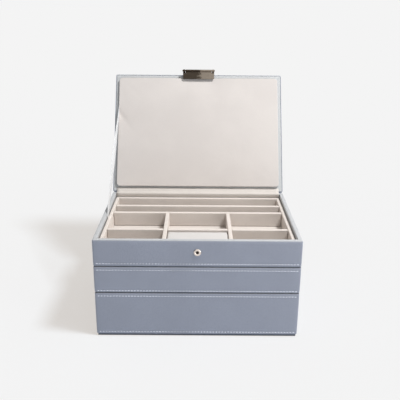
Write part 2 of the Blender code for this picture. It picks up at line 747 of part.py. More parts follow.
def make_plate(materials):
    """The clasp's plate, with its barrel on the pin and a boss that meets the stud."""
    back = PIN_Y + PLATE_BACK_OFFSET
    mesh = prism("clasp_plate", plate_outline(), 1, back - PLATE_THICKNESS, back)
    plate = add_object("clasp_plate", mesh, materials["clasp_metal"])
    barrel_end = CLASP_WIDTH / 2 - CLASP_EAR_WIDTH - CLASP_SIDE_CLEARANCE
    ends = [(BARREL_RADIUS, -barrel_end), (BARREL_RADIUS, barrel_end)]
    combine(plate, turned("barrel", ends, False, (1, 0, 0), CLASP_POINT), "UNION")
    boss_centre = (0, back - PLATE_THICKNESS / 2, TOP.rim - STUD_BELOW_RIM)
    boss = [(BOSS_RADIUS, 0), (BOSS_RADIUS, PLATE_THICKNESS / 2 + BOSS_HEIGHT)]
    combine(plate, turned("boss", boss, False, (0, 1, 0), boss_centre), "UNION")
    bore = PIN_RADIUS + PIN_BORE_CLEARANCE
    cut_end = barrel_end + CUTTER_OVERRUN
    bore_ends = [(bore, -cut_end), (bore, cut_end)]
    combine(plate, turned("bore", bore_ends, False, (1, 0, 0), CLASP_POINT), "DIFFERENCE")
    return plate


def rivet_hole(name, x):
    """A cutter for one rivet, from in front of the bracket into the lid's board."""
    radius = RIVET_SHANK_RADIUS + TOUCH_GAP
    start = BRACKET_FRONT_Y - CUTTER_OVERRUN
    end = BRACKET_FRONT_Y + RIVET_SHANK_LENGTH + TOUCH_GAP
    ends = [(radius, 0), (radius, end - start)]
    return turned(name, ends, False, (0, 1, 0), (x, start, TOP.rim + RIVET_ABOVE_RIM))


def make_rivet(side, x, materials):
    """A rivet that holds the bracket on the lid's edge."""
    face = BRACKET_FRONT_Y - TOUCH_GAP - RIVET_HEAD_THICKNESS
    edge = RIVET_HEAD_THICKNESS / 2
    profile = [
        (RIVET_HEAD_RADIUS - edge, 0),
        (RIVET_HEAD_RADIUS, edge),
        (RIVET_HEAD_RADIUS, RIVET_HEAD_THICKNESS),
        (RIVET_SHANK_RADIUS, RIVET_HEAD_THICKNESS),
        (RIVET_SHANK_RADIUS, RIVET_HEAD_THICKNESS + RIVET_SHANK_LENGTH),
    ]
    name = f"clasp_rivet_{side}"
    mesh = turned(name, profile, False, (0, 1, 0), (x, face, TOP.rim + RIVET_ABOVE_RIM))
    return smooth(add_object(name, mesh, materials["clasp_metal"]))


def cut_rivet_holes(pieces):
    """Let both rivets through the bracket and the leather and into the board."""
    for piece in pieces:
        for side in (-1, 1):
            hole = rivet_hole(f"rivet_hole_{'left' if side < 0 else 'right'}", side * RIVET_SPACING / 2)
            hole.transform(Matrix.Translation(-piece.location))
            combine(piece, hole, "DIFFERENCE")


def turn_open(point):
    """Where a point (y, z) of the closed lid, measured from the hinge, stands at rest."""
    angle = math.radians(-LID_OPEN_ANGLE)
    return Matrix.Rotation(angle, 2) @ Vector(point)


def fold_path(start, corner, end, fold_length):
    """From start to end with a round fold where the two straight stretches meet."""
    to_start = (start - corner).normalized()
    to_end = (end - corner).normalized()
    half_angle = to_start.angle(to_end) / 2
    radius = fold_length * math.tan(half_angle)
    centre = corner + (to_start + to_end).normalized() * (fold_length / math.cos(half_angle))
    first = corner + to_start * fold_length - centre
    last = corner + to_end * fold_length - centre
    path = [start]
    for step in range(FOLD_STEPS + 1):
        share = step / FOLD_STEPS
        path.append(centre + first.lerp(last, share).normalized() * radius)
    return path + [end]


def strip_outline(path, thickness):
    """The two sides of a strip that follows a path in the side view."""
    sides = ([], [])
    for k, point in enumerate(path):
        before = path[max(k - 1, 0)]
        after = path[min(k + 1, len(path) - 1)]
        along = (after - before).normalized()
        across = Vector((-along.y, along.x)) * thickness / 2
        sides[0].append(tuple(point + across))
        sides[1].append(tuple(point - across))
    return sides[0] + sides[1][::-1]


def make_hinge_strips(materials, pivot):
    """The leather strip behind the hinge and the lining strip inside it, both bent at rest."""
    hinge = Vector((HINGE_Y, HINGE_Z - TOP.base))
    start = hinge + Vector((0, -HINGE_STRIP_LENGTH_ON_TRAY))
    end = hinge + turn_open((0, HINGE_STRIP_LENGTH_ON_LID))
    path = fold_path(start, hinge, end, HINGE_FOLD_LENGTH)
    reach = HALF_WIDTH - HINGE_STRIP_END_INSET
    mesh = prism("hinge_leather", strip_outline(path, HINGE_STRIP_THICKNESS), 0, -reach, reach)
    smooth(add_object("hinge_leather", mesh, materials["blue_grey_leather"], pivot))

    half = HINGE_LINING_THICKNESS / 2
    over_rim = TOP.height + TOUCH_GAP + half - hinge.y
    under_lid = LID_SEAT_GAP / 2 - TOUCH_GAP - half
    lid_line = turn_open((0, under_lid))
    lid_way = turn_open((-1, 0))
    corner = lid_line + lid_way * ((over_rim - lid_line.y) / lid_way.y)
    start = hinge + corner + Vector((-HINGE_LINING_LENGTH_ON_RIM, 0))
    end = hinge + corner + lid_way * HINGE_LINING_LENGTH_ON_LID
    path = fold_path(start, hinge + corner, end, HINGE_LINING_FOLD_LENGTH)
    reach = HALF_WIDTH - HINGE_LINING_END_INSET
    outline = strip_outline(path, HINGE_LINING_THICKNESS)
    mesh = prism("hinge_lining", outline, 0, -reach, reach)
    smooth(add_object("hinge_lining", mesh, materials["cream_trim"], pivot))


def make_ribbon(materials, pivot):
    """The stay: a taut ribbon from beside the lid's pad to the left wall's lining."""
    hinge = Vector((HINGE_Y, HINGE_Z - TOP.base))
    foot_height = TOP.divider_top + TOUCH_GAP
    foot = Vector((-HALF_DEPTH + RIBBON_TRAY_SHARE * BOX_DEPTH, foot_height))
    lid_way = turn_open((-1, 0))
    head_place = (-RIBBON_LID_SHARE * BOX_DEPTH, LID_SEAT_GAP / 2 - TOUCH_GAP)
    head = hinge + turn_open(head_place)
    way = (head - foot).normalized()
    foot_half = RIBBON_WIDTH / 2 / abs(way.y)
    head_half = RIBBON_WIDTH / 2 / abs(way.x * lid_way.y - way.y * lid_way.x)
    outline = [
        tuple(foot - Vector((foot_half, 0))),
        tuple(foot + Vector((foot_half, 0))),
        tuple(head - lid_way * head_half),
        tuple(head + lid_way * head_half),
    ]
    near = -HALF_WIDTH + RIM_INSIDE + RIBBON_SIDE_CLEARANCE
    mesh = prism("lid_stay_ribbon", outline, 0, near, near + RIBBON_THICKNESS)
    add_object("lid_stay_ribbon", mesh, materials["stay_ribbon"], pivot)


def make_lid(materials):
    """The lid on its pivot, and the clasp on a pivot of its own at the lid's front edge."""
    lid_pivot = make_pivot("lid_pivot", HINGE_POINT)
    clasp_pivot = make_pivot("clasp_pivot", CLASP_POINT - HINGE_POINT, lid_pivot)
    wrap = make_lid_wrap(materials)
    board = make_lid_board(materials)
    bracket = make_bracket(materials)
    cut_rivet_holes([wrap, board, bracket])
    pieces = [wrap, board, bracket, make_lid_panel(materials), make_lid_pad(materials)]
    pieces.append(make_pin(materials))
    for side, x in (("left", -RIVET_SPACING / 2), ("right", RIVET_SPACING / 2)):
        pieces.append(make_rivet(side, x, materials))
    for piece in pieces:
        hang(piece, lid_pivot, HINGE_POINT)
    hang(make_plate(materials), clasp_pivot, CLASP_POINT)
    clasp_pivot.rotation_euler.x = math.radians(CLASP_FOLD_ANGLE)
    lid_pivot.rotation_euler.x = math.radians(-LID_OPEN_ANGLE)


def main():
    """Build the box from the ground up."""
    clear_scene()
    materials = make_materials()
    pivots = {}
    shells = {}
    for tray in (DEEP, MIDDLE, TOP):
        pivots[tray.name] = make_pivot(f"{tray.name}_tray", (0, 0, tray.base))
        shells[tray.name] = make_tray_shell(tray, materials, pivots[tray.name])
    make_deep_divider(materials, pivots["deep"])
    make_middle_dividers(materials, pivots["middle"])
    make_top_dividers(materials, pivots["top"])
    wrap, walls = shells["top"]
    make_stud(wrap, walls["front"], materials, pivots["top"])
    make_hinge_strips(materials, pivots["top"])
    make_ribbon(materials, pivots["top"])
    make_lid(materials)


main()
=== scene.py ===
"""Dress for a tiered jewelry box: leather, stitching, velvet, pads, a ribbon stay and a clasp.

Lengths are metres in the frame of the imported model: +Z up, the front faces -Y, and the lid
stands open. Pieces of the lid are drawn shut and then turned open about its hinge.
"""

import json
import logging
from dataclasses import dataclass
from enum import Enum
from typing import Any, Callable

import bmesh
import bpy
import numpy as np
from mathutils import Matrix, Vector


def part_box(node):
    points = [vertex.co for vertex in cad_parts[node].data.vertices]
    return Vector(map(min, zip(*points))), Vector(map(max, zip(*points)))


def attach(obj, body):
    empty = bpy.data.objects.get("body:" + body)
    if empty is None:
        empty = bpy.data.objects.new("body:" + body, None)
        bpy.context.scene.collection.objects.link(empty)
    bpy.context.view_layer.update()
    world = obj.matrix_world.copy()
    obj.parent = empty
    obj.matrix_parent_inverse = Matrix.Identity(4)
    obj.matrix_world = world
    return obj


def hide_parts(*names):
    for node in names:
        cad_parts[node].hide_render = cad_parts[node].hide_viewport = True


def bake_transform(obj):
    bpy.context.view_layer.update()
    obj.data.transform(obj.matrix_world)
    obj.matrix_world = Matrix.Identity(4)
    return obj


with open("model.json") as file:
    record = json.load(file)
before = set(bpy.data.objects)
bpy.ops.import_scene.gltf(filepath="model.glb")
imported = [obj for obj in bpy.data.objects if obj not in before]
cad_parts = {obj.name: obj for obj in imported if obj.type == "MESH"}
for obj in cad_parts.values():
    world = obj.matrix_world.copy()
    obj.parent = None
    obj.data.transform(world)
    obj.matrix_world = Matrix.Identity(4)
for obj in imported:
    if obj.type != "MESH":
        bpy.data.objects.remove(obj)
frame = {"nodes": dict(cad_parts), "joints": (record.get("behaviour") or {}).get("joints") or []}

LOG = logging.getLogger("jewelry_box")

Array = np.ndarray
Faces = list[tuple[int, ...]]
Shell = tuple[Array, Faces]
Colour = Point = tuple[float, float, float]


# Shader maths
def operator(operation: str, mirrored: bool = False) -> Callable[["Signal", Any], "Signal"]:
    """A method that adds a Math node of a signal and another value.

    Args:
        operation: The node's operation.
        mirrored: Whether the other value comes first.

    Returns:
        The method.
    """

    def method(signal: "Signal", other: Any) -> "Signal":
        """The Math node's value."""
        pair = (other, signal) if mirrored else (signal, other)
        return signal.shader.add("ShaderNodeMath", {"operation": operation}, dict(enumerate(pair)))

    return method


@dataclass
class Signal:
    """A shader socket that can stand in a sum: each operator adds a Math node."""

    shader: "Shader"
    socket: bpy.types.NodeSocket

    __add__ = __radd__ = operator("ADD")
    __sub__, __rsub__ = operator("SUBTRACT"), operator("SUBTRACT", True)
    __mul__ = __rmul__ = operator("MULTIPLY")
    __truediv__, __rtruediv__ = operator("DIVIDE"), operator("DIVIDE", True)
    __pow__ = operator("POWER")
    larger = operator("MAXIMUM")

    def ramp(self, low: float, high: float) -> "Signal":
        """0 below low, 1 above high and smooth between."""
        return self.shader.add(
            "ShaderNodeMapRange", {"interpolation_type": "SMOOTHSTEP"}, {0: self, 1: low, 2: high}
        )


class Shader:
    """One node tree, of a material or of the world."""

    def __init__(self, name: str) -> None:
        """Start a material.

        Args:
            name: The material's name.
        """
        self.material = bpy.data.materials.new(name)
        self.material.use_nodes = True
        self.tree = self.material.node_tree
        self.surface = self.tree.nodes["Principled BSDF"]
        self.place = self.add("ShaderNodeTexCoord", output="Object")

    @classmethod
    def over(cls, tree: bpy.types.NodeTree) -> "Shader":
        """Wrap a tree that is there already."""
        shader = cls.__new__(cls)
        shader.tree = tree
        return shader

    def add(
        self,
        kind: str,
        settings: dict[str, Any] | None = None,
        inputs: dict[Any, Any] | None = None,
        output: Any = 0,
    ) -> Signal:
        """Make any node.

        Args:
            kind: The node's type.
            settings: Its own settings, which are set first.
            inputs: Values or signals for its sockets.
            output: Which output to hand back.

        Returns:
            That output.
        """
        node = self.tree.nodes.new(kind)
        for key, value in (settings or {}).items():
            setattr(node, key, value)
        self.feed(node, inputs or {})
        return Signal(self, node.outputs[output])

    def feed(self, node: bpy.types.Node, inputs: dict[Any, Any]) -> None:
        """Set or link a node's sockets.

        Args:
            node: The node.
            inputs: Values or signals, by socket.
        """
        for key, value in inputs.items():
            if isinstance(value, Signal):
                self.tree.links.new(value.socket, node.inputs[key])
            else:
                node.inputs[key].default_value = value

    def seen(self) -> Signal:
        """1 for what the camera sees, straight or in gloss and glass, and 0 for light."""
        rays = [f"Is {kind} Ray" for kind in ("Camera", "Glossy", "Transmission")]
        straight, gloss, glass = (self.add("ShaderNodeLightPath", output=ray) for ray in rays)
        return straight.larger(gloss).larger(glass)

    def noise(self, size: float, detail: float = 2.0, squeeze: Point = (1, 1, 1)) -> Signal:
        """Cloudy noise from 0 to 1, in patches this wide with finer layers, squeezed each way."""
        way = self.add("ShaderNodeMapping", inputs={"Vector": self.place, "Scale": squeeze})
        return self.add("ShaderNodeTexNoise", inputs={"Vector": way, "Scale": 1 / size, "Detail": detail})

    def cells(self, size: float, feature: str, bend: float) -> Signal:
        """Distances in a field of cells whose walls wander.

        Args:
            size: How wide a cell is.
            feature: Which distance is taken.
            bend: How far the walls wander, in cells.

        Returns:
            The distance, in cells.
        """
        wander = {"Vector": self.place, "Scale": 0.7 / size, "Detail": 1.0}
        drift = self.add("ShaderNodeTexNoise", inputs=wander, output=1)
        ends = {0: drift, 1: (bend * size,) * 3, 2: self.place}
        shift = self.add("ShaderNodeVectorMath", {"operation": "MULTIPLY_ADD"}, ends)
        return self.add("ShaderNodeTexVoronoi", {"feature": feature}, {"Vector": shift, "Scale": 1 / size})

    def along(self, way: Point) -> Signal:
        """How many metres a point lies along a direction."""
        ends = {0: self.place, 1: way}
        return self.add("ShaderNodeVectorMath", {"operation": "DOT_PRODUCT"}, ends, "Value")

    def mix(self, first: Any, second: Any, share: Any) -> Signal:
        """The first colour, mixed with this share of the second."""
        first, second = (c if isinstance(c, Signal) else (*c, 1.0) for c in (first, second))
        return self.add("ShaderNodeMix", {"data_type": "RGBA"}, {0: share, 6: first, 7: second}, 2)

    def finish(
        self, colour: Any, roughness: Any, height: Signal, depth: float, **fixed: Any
    ) -> bpy.types.Material:
        """Feed the surface.

        Args:
            colour: Base colour.
            roughness: How rough it is.
            height: The relief, from 0 to 1.
            depth: How deep the relief is, in metres.
            **fixed: Sockets that are the same all over, with _ for a space.

        Returns:
            The material.
        """
        bump = self.add("ShaderNodeBump", inputs={"Height": height, "Distance": depth, "Strength": 1.0})
        self.feed(self.surface, {"Base Color": colour, "Roughness": roughness, "Normal": bump})
        self.feed(self.surface, {key.replace("_", " "): value for key, value in fixed.items()})
        return self.material


# Finishes
def shade(colour: Colour, share: float) -> Colour:
    """A colour made darker or lighter."""
    return tuple(min(c * share, 1.0) for c in colour)


@dataclass(frozen=True)
class Coat:
    """What every finish has: its name, the record's slot that it belongs to and its colour."""

    name: str
    slot: str
    colour: Colour

    def tone(self, share: float) -> Colour:
        """The finish's colour made darker or lighter."""
        return shade(self.colour, share)


@dataclass(frozen=True)
class Leather(Coat):
    """Coated leather with a fine pebbled grain."""

    grain: float = 0.0011
    depth: float = 0.00010
    roughness: float = 0.50
    cloud: float = 0.045
    patch: float = 0.0032

    def material(self) -> bpy.types.Material:
        """Pebbles with darker creases, and soft patches where the coat is thinner.

        Returns:
            The material.
        """
        s = Shader(self.name)
        pebble = s.cells(self.grain, "DISTANCE_TO_EDGE", 0.35).ramp(0.0, 0.22)
        pores = s.noise(self.grain / 3)
        cloud = s.noise(self.cloud, 3.0)
        patches = cloud.ramp(0.2, 0.8) * 0.6 + s.noise(self.patch) * 0.4
        toned = s.mix(self.tone(0.93), self.tone(1.07), patches)
        colour = s.mix(self.tone(0.80), toned, pebble * 0.55 + 0.45)
        rough = self.roughness + (cloud - 0.5) * 0.12 + (1.0 - pebble) * 0.12
        return s.finish(colour, rough, pebble * 0.8 + pores * 0.2, self.depth, Specular_IOR_Level=0.45)


@dataclass(frozen=True)
class Velvet(Coat):
    """Short-pile velvet whose nap lies this way and that."""

    warm: Colour
    patch: float = 0.03
    depth: float = 0.00012
    sheen: float = 0.25
    edges: tuple[float, ...] = ()
    pile: float = 0.0005
    streak: float = 0.0012
    lit_band: tuple[float, float] = (0.0003, 0.0012)

    def material(self) -> bpy.types.Material:
        """Fine pile, brushed patches, a soft sheen, and a painted highlight along the edges, the tops where
        light falls from above.

        An edge at height e is as light as ramp(z - e) from the lit band's far to its near distance
        below it, less the same ramp from the near to the far distance above it.

        Returns:
            The material.
        """
        s = Shader(self.name)
        pile = s.noise(self.pile, 3.0)
        streak = s.noise(self.streak, squeeze=(1.0, 1.0, 0.35))
        brushed = s.noise(self.patch, 3.0).ramp(0.32, 0.68)
        toned = s.mix(self.colour, self.warm, brushed)
        # Painted highlight: the tops at these heights are made lighter, for the light falling on them from
        # above.
        if self.edges:
            z, (near, far) = s.along((0, 0, 1)), self.lit_band
            above = [z - edge for edge in self.edges]
            painted_top_light = sum(way.ramp(-far, -near) - way.ramp(near, far) for way in above)
            toned = s.mix(toned, shade(self.warm, 1.15), painted_top_light)
        colour = s.mix(self.tone(0.86), toned, pile * 0.5 + streak * 0.3 + 0.35)
        height = pile * 0.6 + streak * 0.25 + brushed * 0.15
        return s.finish(
            colour, 0.88 + (pile - 0.5) * 0.12, height, self.depth, Specular_IOR_Level=0.15,
            Sheen_Weight=self.sheen, Sheen_Roughness=0.45, Sheen_Tint=(*self.colour, 1.0),
        )


@dataclass(frozen=True)
class Ribbon(Coat):
    """Grosgrain ribbon with ribs across it."""

    way: Point
    rib: float = 0.0009
    thread: float = 0.0004
    depth: float = 0.00012

    def material(self) -> bpy.types.Material:
        """Ribs across the ribbon's length, with fine threads along it.

        Returns:
            The material.
        """
        s = Shader(self.name)
        turns = s.along(self.way) * (2 * np.pi / self.rib)
        rib = s.add("ShaderNodeMath", {"operation": "SINE"}, {0: turns}) * 0.5 + 0.5
        thread = s.noise(self.thread)
        colour = s.mix(self.tone(0.82), self.colour, rib * 0.7 + thread * 0.3)
        height = rib * 0.8 + thread * 0.2
        return s.finish(colour, 0.62 + thread * 0.1, height, self.depth, Sheen_Weight=0.15)


@dataclass(frozen=True)
class Metal(Coat):
    """Plated metal, brushed along X, with handling marks and a painted dark reflection beyond a line."""

    dark_reflection: Colour
    roughness: float = 0.24
    way: Point = (0.0, 0.0, 1.0)
    line: float = 1.0
    change: float = 45.0
    brush: float = 0.0004
    smudge: float = 0.0035
    depth: float = 0.00001

    def material(self) -> bpy.types.Material:
        """Brush lines, smudges, and a mottled change to the painted dark reflection past the line.

        Returns:
            The material.
        """
        s = Shader(self.name)
        brush = s.noise(self.brush, 3.0, (0.04, 1.0, 1.0))
        smudge = s.noise(self.smudge, 4.0)
        # Painted reflection: past the line along the way the colour turns dark, standing for dark
        # surroundings mirrored in the metal.
        dark_reflection_share = ((s.along(self.way) - self.line) * self.change + smudge).ramp(0.40, 0.62)
        colour = s.mix(self.colour, self.dark_reflection, dark_reflection_share)
        rough = self.roughness + brush * 0.10 + smudge.ramp(0.4, 0.7) * 0.10
        return s.finish(colour, rough, brush, self.depth, Metallic=1.0)


@dataclass(frozen=True)
class Thread(Coat):
    """Waxed sewing thread with a twist."""

    ply: float = 0.0004
    wear: float = 0.012
    fading: float = 0.08
    depth: float = 0.00008

    def material(self) -> bpy.types.Material:
        """Two plies wound round each other, greyer in places from handling.

        Returns:
            The material.
        """
        s = Shader(self.name)
        ply = s.noise(self.ply, 1.0)
        wear = s.noise(self.wear)
        clean = s.noise(self.fading).ramp(0.32, 0.54)
        toned = s.mix(self.tone(0.50), self.colour, clean)
        colour = s.mix(self.tone(0.60), toned, ply * 0.4 + wear * 0.4 + 0.5)
        return s.finish(colour, 0.6 + wear * 0.1, ply, self.depth)


@dataclass(frozen=True)
class Board(Coat):
    """Pressed fibre board: flecks and short fibres."""

    fibre: float = 0.0010
    fleck: float = 0.004
    depth: float = 0.00015

    def material(self) -> bpy.types.Material:
        """Short fibres lying in all ways, with paler flecks.

        Returns:
            The material.
        """
        s = Shader(self.name)
        fibre = s.noise(self.fibre, 4.0, (0.25, 1.0, 1.0))
        fleck = s.cells(self.fleck, "F1", 0.5).ramp(0.05, 0.30)
        colour = s.mix(self.tone(0.75), s.mix(self.tone(1.25), self.colour, fleck), fibre)
        return s.finish(colour, 0.82 + fibre * 0.1, fibre, self.depth)


class Finish(Enum):
    """Every finish on the box."""

    LEATHER = Leather("blue_grey_grain", "blue_grey_leather", (0.308, 0.323, 0.385))
    TRIM = Leather("pale_grain", "pale_trim", (0.510, 0.525, 0.540), 0.0009, 0.00006, 0.55)
    BORDER = Leather("pale_border_grain", "pale_trim", (0.495, 0.508, 0.515), 0.0009, 0.00006, 0.55)
    # Wall velvet, with a painted highlight along the lining and divider tops at these heights.
    VELVET = Velvet(
        "beige_pile", "beige_velvet", (0.625, 0.574, 0.535), (0.665, 0.614, 0.575), sheen=1.0,
        edges=(0.0539, 0.0888, 0.1242),
    )
    # A lighter copy of the beige velvet for the compartment floors: painted light, for the light that falls
    # on them from above.
    FLOOR = Velvet(
        "lit_beige_pile", "beige_velvet", (0.705, 0.658, 0.618), (0.745, 0.698, 0.658), sheen=1.0
    )
    PAD = Velvet(
        "cream_pile", "cream_pad_velvet", (0.590, 0.549, 0.523), (0.625, 0.583, 0.554), 0.05, 0.00008
    )
    WHITE = Velvet(
        "white_pile", "white_pad_velvet", (0.640, 0.620, 0.605), (0.665, 0.645, 0.635), 0.02, 0.00008
    )
    CREAM = Velvet(
        "cream_binding", "cream_trim", (0.635, 0.595, 0.558), (0.665, 0.625, 0.588), 0.02, 0.00006
    )
    RIBBON = Ribbon("ribbed_weave", "stay_ribbon", (0.74, 0.755, 0.77), (0, 0.80, 0.60))
    # Painted dark reflection over the clasp's left half, left of x = 2.2 mm.
    CLASP = Metal(
        "dark_bronze", "clasp_metal", (0.255, 0.215, 0.175), (0.062, 0.049, 0.037), 0.24, (-1, 0, 0), -0.0022
    )
    # Painted dark reflection over the upper left of the stud's rim.
    STUD = Metal(
        "bright_nickel", "stud_metal", (0.80, 0.72, 0.66), (0.14, 0.11, 0.10), 0.14, (-0.7, 0, 0.7), 0.0837,
        160.0,
    )
    MAGNET = Metal("dark_magnet", "magnet", (0.045, 0.035, 0.030), (0.02, 0.02, 0.02), 0.40)
    THREAD = Thread("pale_thread", "blue_grey_leather", (0.86, 0.88, 0.94))
    BOARD = Board("fibre_board", "board", (0.36, 0.27, 0.19))
    # Dark base paper: partly its own colour and partly painted shadow for the gaps under the tiers and at
    # the foot.
    BASE = Board("base_paper_and_shadow", "board", (0.115, 0.130, 0.160))


DRESS: dict[Finish, bpy.types.Material] = {}


# Shapes
def weave(index: Array, rows_close: bool = False, columns_close: bool = False) -> Faces:
    """Four-cornered faces between the neighbours of a grid of point numbers.

    Args:
        index: The point numbers, row by row.
        rows_close: Whether the last row joins the first.
        columns_close: Whether the last column joins the first.

    Returns:
        The faces.
    """
    if rows_close:
        index = np.concatenate([index, index[:1]])
    if columns_close:
        index = np.concatenate([index, index[:, :1]], 1)
    corners_of = [index[:-1, :-1], index[:-1, 1:], index[1:, 1:], index[1:, :-1]]
    return [tuple(face) for face in np.stack(corners_of, -1).reshape(-1, 4).tolist()]


def skinned(rings: Array, is_ring: bool = False) -> Shell:
    """A skin over stacked rings: the last joins the first, or both ends are capped.

    Args:
        rings: The rings' points.
        is_ring: Whether the last ring joins the first.

    Returns:
        Points and faces.
    """
    rows, columns = rings.shape[:2]
    faces = weave(np.arange(rows * columns).reshape(rows, columns), is_ring, True)
    if not is_ring:
        faces += [tuple(range(columns)), tuple(range((rows - 1) * columns, rows * columns))]
    return rings, faces


def arc(radius: float, start: float, end: float, steps: int) -> Array:
    """Points of an arc: radius times (cosine, sine) of evenly spaced degrees."""
    angle = np.radians(np.linspace(start, end, steps + 1))
    return radius * np.stack([np.cos(angle), np.sin(angle)], 1)


def ripple(points: Array, size: float) -> Array:
    """Slow unevenness with waves this long: sines of the coordinates, added, from -1 to 1."""
    x, y, z = np.moveaxis(points * (2 * np.pi / size), -1, 0)
    return (np.sin(x + 0.7 * z) + np.sin(0.63 * y - 1.1 * x + 1.3) + np.sin(1.7 * z + 0.4 * y + 0.5)) / 3


def prism(outline: Array, axis: int, low: float, high: float) -> Shell:
    """An outline in the plane of two axes, carried along the third from low to high."""
    return skinned(np.stack([np.insert(outline, axis, end, 1) for end in (low, high)]))


def turned(section: Array, centre: Array, way: Point, steps: int, is_ring: bool = False) -> Shell:
    """Turn a section of (radius, distance) about an axis.

    A point stands at centre + distance * way + radius * (cos a * u + sin a * v), for two unit
    vectors u and v across the way.

    Args:
        section: Points of (radius, distance).
        centre: Where the axis starts.
        way: Its direction.
        steps: How many stretches a circle has.
        is_ring: Whether the section closes on itself.

    Returns:
        Points and faces.
    """
    way = np.asarray(way, float)
    across = np.cross(way, (0.0, 0.0, 1.0) if abs(way[2]) < 0.9 else (1.0, 0.0, 0.0))
    across /= np.linalg.norm(across)
    circle = arc(1.0, 0, 360 * (1 - 1 / steps), steps - 1)
    spokes = circle[:, :1] * across + circle[:, 1:] * np.cross(way, across)
    return skinned(centre + section[:, None, 1:] * way + section[:, None, :1] * spokes, is_ring)


def joined(parts: list[Shell]) -> Shell:
    """Several closed shells as one.

    Args:
        parts: Points and faces of each.

    Returns:
        All points and all faces.
    """
    points, faces, count = [], [], 0
    for part, its_faces in parts:
        points.append(part.reshape(-1, 3))
        faces += [tuple(k + count for k in face) for face in its_faces]
        count += len(points[-1])
    return np.concatenate(points), faces


def corners(node: str) -> Array:
    """The lowest and the highest corner of a node, one a row."""
    return np.array([tuple(corner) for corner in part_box(node)])


@dataclass(frozen=True)
class RoundPath:
    """A rectangle with round corners, to carry a section along."""

    half_x: float
    half_y: float
    radius: float
    least: float = 0.0004
    corner_steps: int = 6
    step: float = 0.006

    def between(self) -> list[int]:
        """How many points stand between two corners, for each side in turn."""
        return [int((half - self.radius) * 2 / self.step) for half in (self.half_x, self.half_y)] * 2

    def quarters(self) -> list[Array]:
        """The ways out round each corner in turn."""
        return [arc(1.0, 90 * k, 90 * k + 90, self.corner_steps) for k in range(4)]

    def out(self) -> Array:
        """The way out at each point of a ring."""
        runs = zip(self.quarters(), self.between())
        parts = [(way, np.repeat(way[-1:], count, 0)) for way, count in runs]
        return np.concatenate([part for pair in parts for part in pair])

    def carry(self, section: Array) -> Array:
        """Offset the path by each point of a section.

        A ring lies the point's first value inside the path, at the height of its second. Its
        corners have what is left of the radius, but never less than the least one.

        Args:
            section: Points of (inset, height).

        Returns:
            Rings of points.
        """
        inset = section[:, :1, None]
        radius = np.maximum(self.radius - inset, self.least)
        signs = np.array([(1, 1), (-1, 1), (-1, -1), (1, -1)], float)
        half = np.array([self.half_x, self.half_y])
        arcs = [sign * (half - inset - radius) + way * radius for sign, way in zip(signs, self.quarters())]
        flat = []
        for count, here, after in zip(self.between(), arcs, arcs[1:] + arcs[:1]):
            share = np.linspace(0, 1, count + 2)[1:-1, None]
            flat += [here, here[:, -1:] + (after[:, :1] - here[:, -1:]) * share]
        rings = np.concatenate(flat, 1)
        height = np.broadcast_to(section[:, None, 1:], (*rings.shape[:2], 1))
        return np.concatenate([rings, height], -1)

    def filled(self, rings: Array) -> Shell:
        """Close rings with a patch over the first and another over the last.

        A patch blends its ring's opposite sides, (1-v) T + v B + (1-u) R + u L, less the same
        blend of its four corners. Its corners are the middles of the ring's corner arcs.

        Args:
            rings: The rings.

        Returns:
            Points and faces.
        """
        count, size = rings.shape[:2]
        wide, deep = (n + self.corner_steps + 2 for n in self.between()[:2])
        turn = np.roll(np.arange(size), -(self.corner_steps // 2))
        turn = np.append(turn, turn[0])
        sides = np.cumsum([0, wide - 1, deep - 1, wide - 1, deep - 1])
        top, left, bottom, right = (turn[sides[k] : sides[k + 1] + 1] for k in range(4))
        bottom, right = bottom[::-1], right[::-1]
        u, v = np.linspace(0, 1, wide)[None, :, None], np.linspace(0, 1, deep)[:, None, None]
        inside = (deep - 2) * (wide - 2)
        points = [rings.reshape(-1, 3)]
        faces = weave(np.arange(count * size).reshape(count, size), columns_close=True)
        for number, first in enumerate((0, (count - 1) * size)):
            ring = points[0][first : first + size]
            patch = (1 - v) * ring[top] + v * ring[bottom]
            patch = patch + (1 - u) * ring[right][:, None] + u * ring[left][:, None]
            patch -= (1 - v) * ((1 - u) * ring[top[0]] + u * ring[top[-1]])
            patch -= v * ((1 - u) * ring[bottom[0]] + u * ring[bottom[-1]])
            index = np.empty((deep, wide), int)
            own = count * size + number * inside + np.arange(inside)
            index[1:-1, 1:-1] = own.reshape(deep - 2, wide - 2)
            index[0], index[-1] = top + first, bottom + first
            index[:, 0], index[:, -1] = right + first, left + first
            points.append(patch[1:-1, 1:-1].reshape(-1, 3))
            faces += weave(index)
        return np.concatenate(points), faces


def put(name: str, data: Any) -> bpy.types.Object:
    """Put a mesh, lamp or camera in the scene, under a name."""
    item = bpy.data.objects.new(name, data)
    bpy.context.scene.collection.objects.link(item)
    return item


@dataclass
class Piece:
    """A mesh to be: its shell and finish, the body it rides on and the node it stands for."""

    name: str
    shell: Shell
    finish: Finish
    body: str = ""
    node: str = ""

    def build(self, bevel: float = 0.0) -> bpy.types.Object:
        """Put the piece in the scene.

        Args:
            bevel: How wide its edges are rounded, if they are.

        Returns:
            The object, at the origin, on its body.
        """
        points, faces = self.shell
        mesh = bpy.data.meshes.new(self.name)
        mesh.from_pydata(points.reshape(-1, 3).tolist(), [], faces)
        work = bmesh.new()
        work.from_mesh(mesh)
        bmesh.ops.recalc_face_normals(work, faces=work.faces)
        work.to_mesh(mesh)
        work.free()
        mesh.shade_smooth()
        mesh.materials.append(DRESS[self.finish])
        item = put(self.name, mesh)
        if bevel:
            round_edges = item.modifiers.new("rounded_edges", "BEVEL")
            round_edges.width = bevel
            round_edges.segments = 4
            round_edges.harden_normals = True
        if self.body:
            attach(item, self.body)
        if self.node:
            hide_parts(self.node)
        LOG.info("%s: %d faces", self.name, len(mesh.polygons))
        return item


